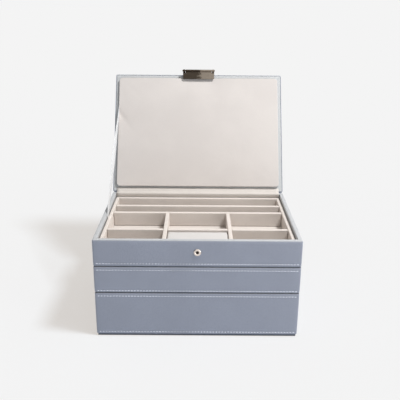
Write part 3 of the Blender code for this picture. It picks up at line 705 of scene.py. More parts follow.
# Stitching
@dataclass(frozen=True)
class Groove:
    """The groove under a row of stitches, depth * exp(-(distance / width)^2) deep."""

    depth: float = 0.00025
    width: float = 0.0006

    def near(self, row: float) -> Array:
        """Places across a row, close enough together to draw the groove."""
        return row + np.linspace(-3, 3, 13) * self.width / 1.5

    def at(self, places: Array, row: float) -> Array:
        """How deep the groove of a row is at each place."""
        return self.depth * np.exp(-(((places - row) / self.width) ** 2))


GROOVE = Groove()


@dataclass(frozen=True)
class Stitching:
    """Saddle stitches: slim capsules, a little aslant, half sunk in their groove."""

    pitch: float = 0.0036
    length: float = 0.0021
    width: float = 0.00110
    height: float = 0.00050
    slant: float = 7.0
    margin: float = 0.0045

    def capsule(self) -> Shell:
        """One stitch about the origin, as rings of (along, across, out).

        Returns:
            Points and faces.
        """
        along = np.array([-0.5, -0.38, -0.12, 0.12, 0.38, 0.5]) * self.length
        fullness = np.array([0.25, 0.85, 1.0, 1.0, 0.85, 0.25])
        rings = fullness[:, None, None] * (arc(1.0, 0, 300, 5) * (self.width / 2, self.height))
        rings = np.concatenate([np.broadcast_to(along[:, None, None], (6, 6, 1)), rings], -1)
        cos, sin = np.cos(np.radians(self.slant)), np.sin(np.radians(self.slant))
        x, y = rings[..., 0].copy(), rings[..., 1].copy()
        rings[..., 0], rings[..., 1] = x * cos - y * sin, x * sin + y * cos
        return skinned(rings)

    def row(self, half_x: float, half_y: float, height: float, lies_flat: bool = False) -> Shell:
        """A row round a rectangle, on its sides or on its top.

        Each stitch stands at a place P with ways along, across and out of the surface, and its
        points are P + a * along + b * across + c * out.

        Args:
            half_x: Half the rectangle's width.
            half_y: Half its depth.
            height: The row's height.
            lies_flat: Whether it lies on an upward face.

        Returns:
            Points and faces.
        """
        template, faces = self.capsule()
        template = template.reshape(-1, 3)
        parts = []
        for turn, way in enumerate([(1, 0), (0, 1), (-1, 0), (0, -1)]):
            along = np.array(way, float)
            out = np.array([along[1], -along[0]])
            reach = (half_x, half_y)[turn % 2] - self.margin
            count = int(2 * reach / self.pitch)
            middle = out * (half_x if turn % 2 else half_y)
            places = middle + np.linspace(-reach, reach, count)[:, None] * along
            places = np.column_stack([places, np.full(count, height)])
            level = np.array([[*along, 0], [*out, 0], [0, 0, 1]], float)
            axes = level if lies_flat else level[[0, 2, 1]]
            parts.append((places[:, None] + template @ axes).reshape(count, -1, 3))
        stitches = np.concatenate(parts)
        numbers = len(template) * np.arange(len(stitches))
        return stitches, [tuple(k + n for k in face) for n in numbers.tolist() for face in faces]


# Velvet boards
class Slots(Enum):
    """Which edge of a board its slots are cut from."""

    NONE = 0
    TOP = 1
    FOOT = 2


@dataclass(frozen=True)
class DividerBoard:
    """A velvet-covered board inside a tray, slotted where others cross it."""

    node: str
    crossed_by: tuple[str, ...] = ()
    slots: Slots = Slots.NONE
    play: float = 0.0003
    edge: float = 0.0011

    def build(self, body: str) -> None:
        """Draw its side view with the slots and carry it through its thickness.

        Args:
            body: The body it rides on.
        """
        low, high = corners(self.node)
        thin = int(np.argmin((high - low)[:2]))
        run = 1 - thin
        start, end, foot, top = low[run], high[run], low[2], high[2]
        from_top = self.slots is Slots.TOP
        mouth, past = (top, -self.play / 2) if from_top else (foot, self.play / 2)
        middle = (foot + top) / 2 + past
        edge: list[tuple[float, float]] = []
        for other in sorted(self.crossed_by, key=lambda name: corners(name)[0][run]):
            near, far = corners(other)[:, run] + (-self.play, self.play)
            edge += [(near, mouth), (near, middle), (far, middle), (far, mouth)]
        if from_top:
            outline = [(start, foot), (end, foot), (end, top), *edge[::-1], (start, top)]
        else:
            outline = [(start, foot), *edge, (end, foot), (end, top), (start, top)]
        shell = prism(np.array(outline), thin, low[thin], high[thin])
        Piece(f"{self.node}_velvet", shell, Finish.VELVET, body, self.node).build(self.edge)


def crossed(tray: str, side: str) -> tuple[DividerBoard, ...]:
    """A tray's long divider and the two that cross it, slotted into each other.

    Args:
        tray: The tray's name.
        side: Which divider is the long one.

    Returns:
        The three boards.
    """
    through = f"{tray}_{side}_divider"
    across = tuple(f"{tray}_{end}_cross_divider" for end in ("left", "right"))
    boards = [DividerBoard(node, (through,), Slots.FOOT) for node in across]
    return (DividerBoard(through, across, Slots.TOP), *boards)


# Trays
@dataclass(frozen=True)
class Tray:
    """One tier: its leather, stitching, rim, linings, floor and dividers."""

    name: str
    dividers: tuple[DividerBoard, ...]
    stitch_rows: tuple[float, ...]
    trim_outside: float = 0.0011
    lap: float = 0.0
    recess: float = 0.0012
    foot_drop: float = 0.0
    foot_inset: float = 0.0014
    corner: float = 0.0020
    foot_edge: float = 0.0008
    head_edge: float = 0.0006
    belly: float = 0.00010
    wave: float = 0.09
    unevenness: float = 0.00005
    leather: float = 0.0009
    turn_in: float = 0.0056
    trim_inside: float = 0.0055
    trim_leg: float = 0.0009
    trim_drop: float = 0.0090
    trim_edge: float = 0.0009
    lining_edge: float = 0.0014

    @property
    def path(self) -> RoundPath:
        """The tray's outline."""
        half = np.ptp(corners(f"{self.name}_leather_wrap"), 0) / 2
        return RoundPath(half[0], half[1], self.corner)

    @property
    def heights(self) -> Array:
        """The heights of the leather's lower edge and of the rim."""
        return corners(f"{self.name}_leather_wrap")[:, 2]

    @property
    def rows(self) -> list[float]:
        """The heights of the stitch rows: up from the foot, or down from the rim if negative."""
        low, high = self.heights
        return [low + row if row > 0 else high + row for row in self.stitch_rows]

    def add(self, name: str, shell: Shell, finish: Finish, node: str = "") -> None:
        """Put a piece in the scene, in place of a node, both named after the tray."""
        node = f"{self.name}_{node}" if node else ""
        Piece(f"{self.name}_{name}", shell, finish, f"{self.name}_tray", node).build()

    def wrap(self) -> None:
        """The leather: a slight belly, grooves under the stitches, soft edges and a turn-in.

        Its outer inset is the groove's depth less belly * (1 - t^4), where t runs from -1 to 1
        up the face.
        """
        low, high = self.heights + (self.recess, -self.lap)
        even = np.linspace(low + self.foot_edge, high - self.head_edge, 12)
        z = np.unique(np.concatenate([even, *map(GROOVE.near, self.rows)]))
        t = 2 * (z - low) / (high - low) - 1
        inset = -self.belly * (1 - t**4)
        for row in self.rows:
            inset = inset + GROOVE.at(z, row)
        foot = arc(self.foot_edge, 270, 180, 5) + (self.foot_edge, low + self.foot_edge)
        head = arc(self.head_edge, 180, 90, 3) + (self.head_edge, high - self.head_edge)
        inner = [
            (self.leather, high - self.head_edge), (self.leather, low + self.leather),
            (self.turn_in, low + self.leather), (self.turn_in, low),
        ]
        section = np.concatenate([foot[:-1], np.column_stack([inset, z]), head[1:], inner])
        section = np.clip(section, (-1, low), (1, high))
        rings = self.path.carry(section)
        face = (section[:, 0] < self.leather * 0.8)[:, None]
        rings[..., :2] += self.path.out() * (face * ripple(rings, self.wave) * self.unevenness)[..., None]
        self.add("leather", skinned(rings, True), Finish.LEATHER, "leather_wrap")

    def stitching(self) -> None:
        """Rows of thread round the tray's four sides."""
        half_x, half_y = (half - GROOVE.depth * 0.4 for half in (self.path.half_x, self.path.half_y))
        self.add("stitching", joined([Stitching().row(half_x, half_y, z) for z in self.rows]), Finish.THREAD)

    def foot(self) -> None:
        """The dark edge of the base board, set back under the leather: partly the board's own paper and
        partly painted shadow in the gap below each tier.
        """
        near, far = self.foot_inset, self.turn_in
        low, high = self.heights[0] + (-self.foot_drop, self.recess)
        section = np.array([(near, low), (near, high), (far, high), (far, low)])
        self.add("base_edge", skinned(self.path.carry(section), True), Finish.BASE)

    def rim(self) -> None:
        """The pale strip over the rim, soft on both edges, and down its inner side."""
        top, soft = self.heights[1], self.trim_edge
        outer = arc(soft, 180, 90, 4) + (self.trim_outside + soft, top - soft)
        inner = arc(soft, 90, 0, 4) + (self.trim_inside - soft, top - soft)
        leg, foot = self.trim_inside - self.trim_leg, top - self.trim_drop
        section = np.concatenate([outer, inner, [(self.trim_inside, foot), (leg, foot), (leg, top - soft)]])
        self.add("rim", skinned(self.path.carry(section), True), Finish.TRIM, "rim_trim")

    def floor(self) -> None:
        """The velvet on the floor, with its edges turned down, in the lighter copy that paints in the light
        falling from above.
        """
        low, high = corners(f"{self.name}_lining_floor")
        soft = self.lining_edge
        roll = arc(soft, 180, 90, 3) + (soft, high[2] - soft)
        section = np.concatenate([[(0, low[2])], roll, [(2 * soft, high[2])]])
        rings = RoundPath(high[0], high[1], soft).carry(section)
        self.add("lining_floor_velvet", skinned(rings), Finish.FLOOR, "lining_floor")

    def build(self) -> None:
        """Make all of the tier."""
        for make in (self.wrap, self.stitching, self.foot, self.rim, self.floor):
            make()
        sides = (f"{self.name}_{side}_lining" for side in ("front", "back", "left", "right"))
        for board in (*(DividerBoard(side, edge=self.lining_edge) for side in sides), *self.dividers):
            board.build(f"{self.name}_tray")


# Pads
@dataclass(frozen=True)
class Pad:
    """A stuffed pad: sides that draw in at the foot, round edges and a face that swells."""

    name: str
    node: str
    finish: Finish
    body: str
    half_x: float
    half_y: float
    thickness: float
    edge: float
    roll: float
    draw_in: float
    swell: float
    corner: float = 0.0045
    step: float = 0.0027
    shoulder: float = 0.0015
    fill: float = 0.8
    frames: int = 20

    def surface(self) -> Shell:
        """Rings from the foot over the edge and a patch over the face, at foot height 0.

        Returns:
            Points and faces.
        """
        belly = self.thickness - self.edge
        side = [(self.draw_in, 0.0), (self.draw_in * 0.3, belly * 0.4), (0, belly * 0.8)]
        roll = arc(1.0, 180, 90, 7) * (self.roll, self.edge) + (self.roll, belly)
        path = RoundPath(self.half_x, self.half_y, self.corner, self.corner * 0.7, step=self.step)
        section = np.concatenate([side, roll, [(self.roll + self.shoulder, self.thickness)]])
        return path.filled(path.carry(section))

    def puff(self, item: bpy.types.Object) -> None:
        """Let cloth under pressure swell the face, with the foot held, and keep what it gives.

        Args:
            item: The pad, still lying at the origin.
        """
        rest = np.empty(len(item.data.vertices) * 3, np.float32)
        item.data.vertices.foreach_get("co", rest)
        held = item.vertex_groups.new(name="held")
        held.add(np.flatnonzero(rest[2::3] < self.thickness / 2).tolist(), 1.0, "REPLACE")
        cloth = item.modifiers.new("stuffing", "CLOTH")
        stuffing = {
            "quality": 6, "mass": 0.05, "tension_stiffness": 12, "compression_stiffness": 12,
            "bending_stiffness": 0.4, "vertex_group_mass": held.name, "use_pressure": True,
            "uniform_pressure_force": 4,
        }
        for setting, value in stuffing.items():
            setattr(cloth.settings, setting, value)
        cloth.settings.effector_weights.gravity = 0
        for moment in range(1, self.frames + 1):
            bpy.context.scene.frame_set(moment)
        graph = bpy.context.evaluated_depsgraph_get()
        soft = item.evaluated_get(graph).to_mesh()
        moved = np.empty_like(rest)
        soft.vertices.foreach_get("co", moved)
        item.evaluated_get(graph).to_mesh_clear()
        item.modifiers.remove(cloth)
        bpy.context.scene.frame_set(1)
        shift = (moved - rest).reshape(-1, 3)
        most = np.abs(shift[:, 2]).max() + 1e-9
        rise = shift[:, 2] * min(1.0, self.swell / most)
        points = rest.reshape(-1, 3)
        points[:, 2] += rise
        item.data.vertices.foreach_set("co", points.ravel())
        LOG.info("%s swells by %.2f mm", self.name, 1000 * rise.max())

    def build(self, shape: Callable[[Array], Array], place: Callable[[Array], Array]) -> None:
        """Make the pad, swell it, press its dents and put it in place.

        Args:
            shape: Gives how far each point of the face sinks, for points about the pad's middle.
            place: Takes points from about the origin to where the pad lies.
        """
        item = Piece(self.name, self.surface(), self.finish, node=self.node).build()
        self.puff(item)
        points = np.empty(len(item.data.vertices) * 3, np.float32)
        item.data.vertices.foreach_get("co", points)
        points = points.reshape(-1, 3).astype(float)
        share = np.clip(points[:, 2] / self.thickness, 0, 1) ** 2
        points[:, 2] -= shape(points) * share
        item.data.vertices.foreach_set("co", place(points).astype(np.float32).ravel())
        item.data.update()
        finer = item.modifiers.new("finer", "SUBSURF")
        finer.levels = finer.render_levels = 1
        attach(item, self.body)


@dataclass(frozen=True)
class DisplayPad:
    """The pale loose pad in the front middle compartment."""

    edge: float = 0.0022
    draw_in: float = 0.0004
    swell: float = 0.0006
    corner: float = 0.0028
    step: float = 0.0030
    wave: float = 0.03
    unevenness: float = 0.00012

    def build(self) -> None:
        """A block of foam under velvet, gently crowned."""
        low, high = corners("display_pad")
        half, foot = (high - low) / 2, (*((high + low) / 2)[:2], low[2])
        pad = Pad(
            "display_cushion", "display_pad", Finish.WHITE, "top_tray", half[0], half[1],
            high[2] - low[2] - self.swell, self.edge, self.edge, self.draw_in, self.swell, self.corner,
            self.step,
        )
        pad.build(lambda p: self.unevenness * ripple(p, self.wave), lambda p: p + foot)


# Lid
class Turn:
    """Turns what is drawn on the shut box to where it stands with the lid open."""

    def __init__(self) -> None:
        """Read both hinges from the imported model's joints."""
        lid, swing = (
            next(joint for joint in frame["joints"] if joint["name"] == name)
            for name in ("lid_hinge", "clasp_swing")
        )
        self.hinge = np.array(lid["pos_m"])
        self.angle = -np.radians(lid["range_deg"][1])
        self.fold = -np.radians(swing["range_deg"][0])

    @staticmethod
    def about(points: Array, centre: Array, angle: float) -> Array:
        """Points turned by radians about an axis along X through the centre."""
        return (points - centre) @ np.array(Matrix.Rotation(angle, 3, "X")).T + centre

    def open(self, points: Array) -> Array:
        """Points of the shut lid, where they stand open."""
        return self.about(points, self.hinge, self.angle)


@dataclass(frozen=True)
class OnLid:
    """What the lid's parts share: its turn, and the size and height of the rim it shuts on."""

    turn: Turn
    half_x: float
    half_y: float
    rim: float
    seat: float = 0.0004

    def add(self, name: str, shell: Shell, finish: Finish, node: str = "", bevel: float = 0.0) -> None:
        """Open what is drawn shut and put it in the scene, in place of a node."""
        Piece(name, (self.turn.open(shell[0]), shell[1]), finish, "lid", node).build(bevel)


@dataclass(frozen=True)
class Lid(OnLid):
    """The lid's leather, stitching, inner panel and pad."""

    thickness: float = 0.0100
    corner: float = 0.0020
    least_corner: float = 0.0015
    edge: float = 0.0010
    leather: float = 0.0009
    wave: float = 0.09
    unevenness: float = 0.00004
    stitch_inset: float = 0.0045
    crown: float = 0.0004
    crown_reach: float = 0.6
    panel_inset: float = 0.0011
    panel_thickness: float = 0.0012
    panel_edge: float = 0.0006
    pad_inset: tuple[float, float] = (0.0058, 0.0070)
    pad_shift: tuple[float, float] = (-0.0002, -0.0004)
    pad_thickness: float = 0.0041
    pad_edge: float = 0.0009
    pad_roll: float = 0.0010
    pad_draw_in: float = 0.0008
    pad_gap: float = 0.0003
    pad_swell: float = 0.0006
    pad_wave: float = 0.07
    pad_unevenness: float = 0.00010
    dent_start: tuple[float, float] = (-0.1185, -0.0290)
    dent_end: tuple[float, float] = (-0.0920, 0.0080)
    dent_depth: float = 0.0014
    dent_width: float = 0.0032
    hollow: float = 0.0016
    hollow_width: float = 0.0340
    hollow_length: float = 0.0280

    def cover(self) -> None:
        """The leather: edges, a stitched groove on the face, and a slight crown.

        The face's height is top + crown * s - the groove's depth, where s goes smoothly from 0
        at the edge to 1 at the middle.
        """
        low = self.rim + self.seat
        high = low + self.thickness
        top = high - self.crown
        foot = arc(self.edge, 270, 180, 4) + (self.edge, low + self.edge)
        head = arc(self.edge, 180, 90, 4) + (self.edge, top - self.edge)
        insets = GROOVE.near(self.stitch_inset)
        face = np.column_stack([insets, top - GROOVE.at(insets, self.stitch_inset)])
        inner = [(self.leather, high - 2 * self.leather), (self.leather, low + self.leather * 0.3)]
        path = RoundPath(self.half_x, self.half_y, self.corner, self.least_corner)
        rings = path.carry(np.concatenate([inner, foot[1:], head, face]))
        outside = rings[len(inner) :]
        outside[..., :2] += path.out() * (ripple(outside, self.wave) * self.unevenness)[..., None]
        points, faces = path.filled(rings)
        inset = np.minimum(self.half_x - abs(points[:, 0]), self.half_y - abs(points[:, 1]))
        s = np.clip(inset / (self.half_y * self.crown_reach), 0, 1)
        points[:, 2] += (points[:, 2] > top - self.edge) * self.crown * s * s * (3 - 2 * s)
        self.add("lid_leather", (points, faces), Finish.LEATHER, "lid_leather_wrap")

    def stitching(self) -> None:
        """A row of thread round the lid's outer face."""
        top = self.rim + self.seat + self.thickness - self.crown - GROOVE.depth * 0.6
        half_x, half_y = self.half_x - self.stitch_inset, self.half_y - self.stitch_inset
        self.add("lid_stitching", Stitching().row(half_x, half_y, top, True), Finish.THREAD)

    def panel(self) -> None:
        """The pale panel inside, its edge rolled."""
        low, edge, soft = self.rim + self.seat, self.panel_inset, self.panel_edge
        roll = arc(soft, 90, 180, 3) * (1, -1) + (edge + soft, low + soft)
        section = np.concatenate([[(edge + 3 * soft, low)], roll, [(edge, low + self.panel_thickness)]])
        rings = RoundPath(self.half_x, self.half_y, self.corner).carry(section)
        self.add("lid_border", skinned(rings), Finish.BORDER, "lid_inner_panel")

    def dent(self, points: Array) -> Array:
        """A crease from where the ribbon is anchored and a hollow pressed by the folded clasp.

        The crease's depth is the deepest times exp(-(distance across / width)^2) times what is
        left of the way along, squared. The hollow's is its deepest times exp(-(x / width)^4)
        times s^2 (3 - 2 s), where s falls from 1 at the pad's edge to 0. Slow unevenness is added.

        Args:
            points: Points about the pad's middle, face up.

        Returns:
            How far each sinks.
        """
        start, end = np.array(self.dent_start), np.array(self.dent_end)
        length = np.linalg.norm(end - start)
        way = (end - start) / length
        flat = points[:, :2] * (1, -1) - start
        along = flat @ way / length
        across = flat @ np.array([-way[1], way[0]])
        left = np.clip(1 - along, 0, 1) ** 2 * (along > -0.2)
        crease = self.dent_depth * np.exp(-((across / self.dent_width) ** 2)) * left
        s = np.clip(1 - (self.half_y - self.pad_inset[1] - points[:, 1]) / self.hollow_length, 0, 1)
        pressed = self.hollow * np.exp(-((points[:, 0] / self.hollow_width) ** 4)) * s * s * (3 - 2 * s)
        return crease + pressed + self.pad_unevenness * ripple(points, self.pad_wave)

    def pad(self) -> None:
        """The stuffed velvet pad, drawn face up and then turned over onto the panel."""
        foot = (*self.pad_shift, self.rim + self.seat - self.pad_gap)
        half_x, half_y = self.half_x - self.pad_inset[0], self.half_y - self.pad_inset[1]
        pad = Pad(
            "lid_cushion", "lid_pad", Finish.PAD, "lid", half_x, half_y, self.pad_thickness, self.pad_edge,
            self.pad_roll, self.pad_draw_in, self.pad_swell,
        )
        pad.build(self.dent, lambda p: self.turn.open(p * (1, -1, -1) + foot))

    def build(self) -> None:
        """Make all of the lid apart from its clasp."""
        for make in (self.cover, self.stitching, self.panel, self.pad):
            make()


# Strips and ribbon
@dataclass(frozen=True)
class Strips(OnLid):
    """What crosses the hinge: leather outside, binding inside, and the ribbon at the left."""

    rim_width: float = Tray.trim_inside
    leather: float = 0.0008
    leather_on_tray: float = 0.0160
    leather_on_lid: float = 0.0090
    leather_bend: float = 0.0025
    leather_fold: float = 0.003
    binding: float = 0.0004
    binding_drop: float = 0.0050
    binding_on_lid: float = 0.0059
    binding_bends: tuple[float, float] = (0.0010, 0.0014)
    binding_fold: float = 0.002
    ends_in: float = 0.0060
    gap: float = 0.0003
    steps: int = 61
    ribbon_width: float = 0.0090
    ribbon_thickness: float = 0.0004
    ribbon_bow: float = 0.0006
    ribbon_foot: float = 0.72
    ribbon_head: tuple[float, float] = (0.20, 0.42)
    ribbon_fold: tuple[float, float] = (0.03, 0.05)
    twist: float = 20.0

    @staticmethod
    def bent(stops: list[Array], reach: tuple[float, ...]) -> Array:
        """A path in the side view that rounds each of its corners as a quadratic curve.

        Between two points at reach from a corner it is (1-t)^2 P + 2t(1-t) C + t^2 Q.

        Args:
            stops: Its first point, its corners and its last point, as (y, z).
            reach: How far from each corner the curve starts.

        Returns:
            Points along the path.
        """
        t = np.linspace(0, 1, 11)[:, None]
        parts = [stops[0][None]]
        for before, corner, after, far in zip(stops, stops[1:], stops[2:], reach):
            back, ahead = (corner + (p - corner) / np.linalg.norm(p - corner) * far for p in (before, after))
            parts.append((1 - t) ** 2 * back + 2 * t * (1 - t) * corner + t**2 * ahead)
        return np.concatenate([*parts, stops[-1][None]])

    def strip(self, name: str, path: Array, thickness: float, finish: Finish, node: str) -> bpy.types.Object:
        """A strip that follows a path, round at its edges, carried along X.

        Args:
            name: The piece's name.
            path: Its middle line, as (y, z).
            thickness: How thick it is.
            finish: What it is made of.
            node: The node it stands for.

        Returns:
            The strip.
        """
        along = np.gradient(path, axis=0)
        along /= np.linalg.norm(along, axis=1)[:, None]
        across = np.column_stack([-along[:, 1], along[:, 0]]) * thickness / 2
        tip = [path[-1] + along[-1] * thickness * 0.3]
        tail = [path[0] - along[0] * thickness * 0.3]
        loop = np.concatenate([path + across, tip, (path - across)[::-1], tail])
        reach = self.half_x - self.ends_in
        rings = np.stack([np.insert(loop, 0, x, 1) for x in np.linspace(-reach, reach, self.steps)])
        return Piece(name, skinned(rings), finish, node=node).build()

    def outside(self) -> None:
        """The leather strip behind the fold."""
        hinge, lift = self.turn.hinge, np.array([0, 0, self.leather_fold])
        start = hinge[1:] + (0, -self.leather_on_tray)
        end = self.turn.open(hinge + (0, 0, self.leather_on_lid))[1:]
        path = self.bent([start, hinge[1:], end], (self.leather_bend,))
        strip = self.strip("hinge_leather_strip", path, self.leather, Finish.LEATHER, "hinge_leather")
        tuple(self.turn.open(hinge + lift))
        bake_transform(strip)

    def inside(self) -> None:
        """The binding inside the fold, from behind the rim over it and up the lid."""
        hinge = self.turn.hinge
        over_rim = self.rim + self.gap + self.binding / 2
        under_lid = self.rim + self.seat - self.gap - self.binding / 2
        lid_line = self.turn.open(np.array([0, hinge[1], under_lid]))[1:]
        lid_way = self.turn.open(hinge + (0, -1, 0))[1:] - hinge[1:]
        fold = lid_line + lid_way * ((over_rim - lid_line[1]) / lid_way[1])
        y = self.half_y - self.rim_width - self.gap - self.binding / 2
        foot, bend = np.array([y, self.rim - self.binding_drop]), np.array([y, over_rim])
        path = self.bent([foot, bend, fold, fold + lid_way * self.binding_on_lid], self.binding_bends)
        strip = self.strip("hinge_binding", path, self.binding, Finish.CREAM, "hinge_lining")
        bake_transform(strip)

    def ribbon(self) -> None:
        """The stay: a ribbon that bows and twists a little between its two anchors.

        A point is middle(s) + a * across + b * out, where the middle bows by bow * sin(pi s) and
        the section turns by twist * sin(pi s)^2.
        """
        low, high = corners("lid_stay_ribbon")
        x, back_down = (low[0] + high[0]) / 2, self.ribbon_width * np.array(self.ribbon_head)
        foot = np.array([x, low[1] + self.ribbon_width * self.ribbon_foot, low[2]])
        head = np.array([x, high[1] - back_down[0], high[2] - back_down[1]])
        length = np.linalg.norm(head - foot)
        way = (head - foot) / length
        side = np.cross(way, (1.0, 0.0, 0.0))
        s = np.linspace(0, 1, self.steps)
        middle = foot + s[:, None] * (head - foot)
        middle[:, 0] -= self.ribbon_bow * np.sin(np.pi * s)
        twist = np.radians(self.twist) * np.sin(np.pi * s) ** 2
        across = np.cos(twist)[:, None] * side + np.sin(twist)[:, None] * np.array([1.0, 0, 0])
        out = np.cross(way, across)
        under = np.array([(-1, -0.6), (-0.96, -1), (0.96, -1), (1, -0.6)])
        loop = np.concatenate([under, -under]) * (self.ribbon_width / 2, self.ribbon_thickness / 2)
        rings = middle[:, None] + loop[None, :, :1] * across[:, None] + loop[None, :, 1:] * out[:, None]
        tape = Piece("stay_ribbon_tape", skinned(rings), Finish.RIBBON, node="lid_stay_ribbon").build()
        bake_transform(tape)

    def build(self) -> None:
        """Make the strips and the ribbon."""
        for make in (self.outside, self.inside, self.ribbon):
            make()


# Clasp
@dataclass(frozen=True)
class Clasp(OnLid):
    """Bracket, pin, rivets and swinging plate on the lid's front edge, and the stud below."""

    width: float = 0.0470
    ear: float = 0.0035
    play: float = 0.0004
    soft: float = 0.00022
    bracket: float = 0.0009
    rise: float = 0.0086
    ear_radius: float = 0.0019
    pin_radius: float = 0.0007
    head_radius: float = 0.0013
    head: float = 0.0007
    barrel: float = 0.0017
    barrel_edge: float = 0.0002
    bore_play: float = 0.0003
    pin_below: float = 0.0082
    plate: float = 0.0012
    plate_length: float = 0.0125
    plate_corner: float = 0.0016
    neck: float = 0.0039
    plate_offset: float = 0.0014
    boss_radius: float = 0.0032
    boss: float = 0.0005
    boss_edge: float = 0.0003
    rivet_spacing: float = 0.0280
    rivet_above: float = 0.0054
    rivet_radius: float = 0.0020
    rivet_length: float = 0.005
    stud_below: float = 0.0155
    stud_swell: float = 0.0003
    stud_bore: float = 0.0018
    stud_height: float = 0.0009
    stud_shank: float = 0.0022
    stud_flange: float = 0.0002
    magnet_play: float = 0.0001
    magnet_dish: float = 0.0003
    magnet_edge: float = 0.0002
    small_circle: int = 28
    circle: int = 36
    large_circle: int = 48

    @property
    def face(self) -> float:
        """The bracket's front face."""
        return -self.half_y - self.play - self.bracket

    @property
    def pin(self) -> Array:
        """The pin's middle, with the box shut."""
        return np.array([0.0, self.face - self.play - self.barrel, self.rim - self.pin_below])

    def hinge_plate(self) -> None:
        """A plate with a rounded ear at each end."""
        half, face, low = self.width / 2, self.face, self.pin[2] + self.ear_radius + self.bracket
        back, high = face + self.bracket, self.rim + self.rise
        parts = [prism(np.array([(face, low), (back, low), (back, high), (face, high)]), 0, -half, half)]
        bow = arc(self.ear_radius, 0, -180, 8) + self.pin[1:]
        foot = low + self.bracket
        ear = np.concatenate([[(face + self.bracket * 0.5, foot)], bow, [(face - self.play / 2, foot)]])
        parts += [prism(ear, 0, start, start + self.ear) for start in (-half, half - self.ear)]
        self.add("clasp_hinge_plate", joined(parts), Finish.CLASP, "clasp_bracket", self.soft)

    def axle(self) -> None:
        """A pin with domed heads."""
        end = self.width / 2 + self.play / 2
        dome = arc(self.head_radius, 0, 80, 4) * (1, 0.5) + (0, end + self.head * 0.2)
        right = np.concatenate([[(self.pin_radius, end)], dome])
        pin = turned(np.concatenate([right[::-1] * (1, -1), right]), self.pin, (1, 0, 0), self.small_circle)
        self.add("clasp_axle", pin, Finish.CLASP, "clasp_pin")

    def rivets(self) -> None:
        """A domed rivet at each side."""
        dome = arc(self.rivet_radius, 0, 85, 6) * (1, 0.45)
        shank = [(self.rivet_radius * 0.5, -self.rivet_length), (self.rivet_radius * 0.5, 0)]
        section = np.concatenate([shank, dome])
        y, z = self.face - self.play / 2, self.rim + self.rivet_above
        for name, side in (("left", -1), ("right", 1)):
            centre = np.array([side * self.rivet_spacing / 2, y, z])
            rivet = turned(section, centre, (0, -1, 0), self.small_circle)
            self.add(f"clasp_rivet_{name}_head", rivet, Finish.CLASP, f"clasp_rivet_{name}")

    def swinging_plate(self) -> None:
        """The plate with its neck between the ears, its barrel on the pin and its round boss."""
        pin, half, soft = self.pin, self.width / 2, self.plate_corner
        neck = half - self.ear - self.play
        foot, shoulder = pin[2] - self.plate_length, pin[2] - self.neck
        corner = arc(soft, 0, -90, 5) + (half - soft, foot + soft)
        right = np.concatenate([[(neck, pin[2]), (neck, shoulder), (half, shoulder)], corner])
        outline = np.concatenate([right, right[::-1] * (-1, 1)])
        back = pin[1] + self.plate_offset
        bore, outer, chamfer = self.pin_radius + self.bore_play, self.barrel, self.barrel_edge
        left = np.array([(bore, -neck), (outer - chamfer, -neck), (outer, -neck + chamfer)])
        barrel = np.concatenate([left, left[::-1] * (1, -1)])
        radius, chamfer = self.boss_radius, self.boss_edge
        boss = np.array([(radius, 0), (radius, self.boss * 0.6), (radius - chamfer, self.boss)])
        centre = np.array([0, back, self.rim - self.stud_below])
        points, faces = joined([
            prism(outline, 1, back - self.plate, back),
            turned(barrel, pin, (1, 0, 0), self.circle, True),
            turned(boss + (0, -chamfer), centre, (0, 1, 0), self.circle),
        ])
        folded = self.turn.open(self.turn.about(points, pin, self.turn.fold))
        Piece("clasp_swing_plate", (folded, faces), Finish.CLASP, "clasp", "clasp_plate").build(self.soft)

    def stud(self) -> None:
        """The ring on the tray's front, rounded like a grommet, with the magnet sunk in it."""
        low, high = corners("stud_ring")
        radius, bore, thick = (high[2] - low[2]) / 2 + self.stud_swell, self.stud_bore, self.stud_height
        centre = np.array([0, low[1], (low[2] + high[2]) / 2])
        roll = arc(1.0, 180, 0, 12) * ((radius - bore) / 2, -thick * 0.9)
        roll += ((radius + bore) / 2, thick * 0.95)
        deep, flange = high[1] - low[1], thick + self.stud_flange
        back = [(radius, flange), (self.stud_shank, flange), (self.stud_shank, deep), (bore, deep)]
        ring = turned(np.concatenate([roll, back]), centre, (0, 1, 0), self.large_circle, True)
        Piece("stud_grommet", ring, Finish.STUD, "top_tray", "stud_ring").build()
        low, high = corners("stud_magnet")
        edge, deep = bore - self.magnet_play, high[1] - low[1]
        dish, soft = self.magnet_dish, self.magnet_edge
        face = [(0.2 * edge, dish), (0.6 * edge, soft), (0.9 * edge, 0), (edge, soft), (edge, deep)]
        disc = turned(np.array(face), np.array([0, low[1], centre[2]]), (0, 1, 0), self.circle)
        Piece("stud_magnet_disc", disc, Finish.MAGNET, "top_tray", "stud_magnet").build()

    def build(self) -> None:
        """Make the clasp and the stud."""
        for make in (self.hinge_plate, self.axle, self.rivets, self.swinging_plate, self.stud):
            make()


# Studio
@dataclass(frozen=True)
class Lamp:
    """A soft lamp: its name, watts, place and radius."""

    name: str
    watts: float
    place: Point
    radius: float


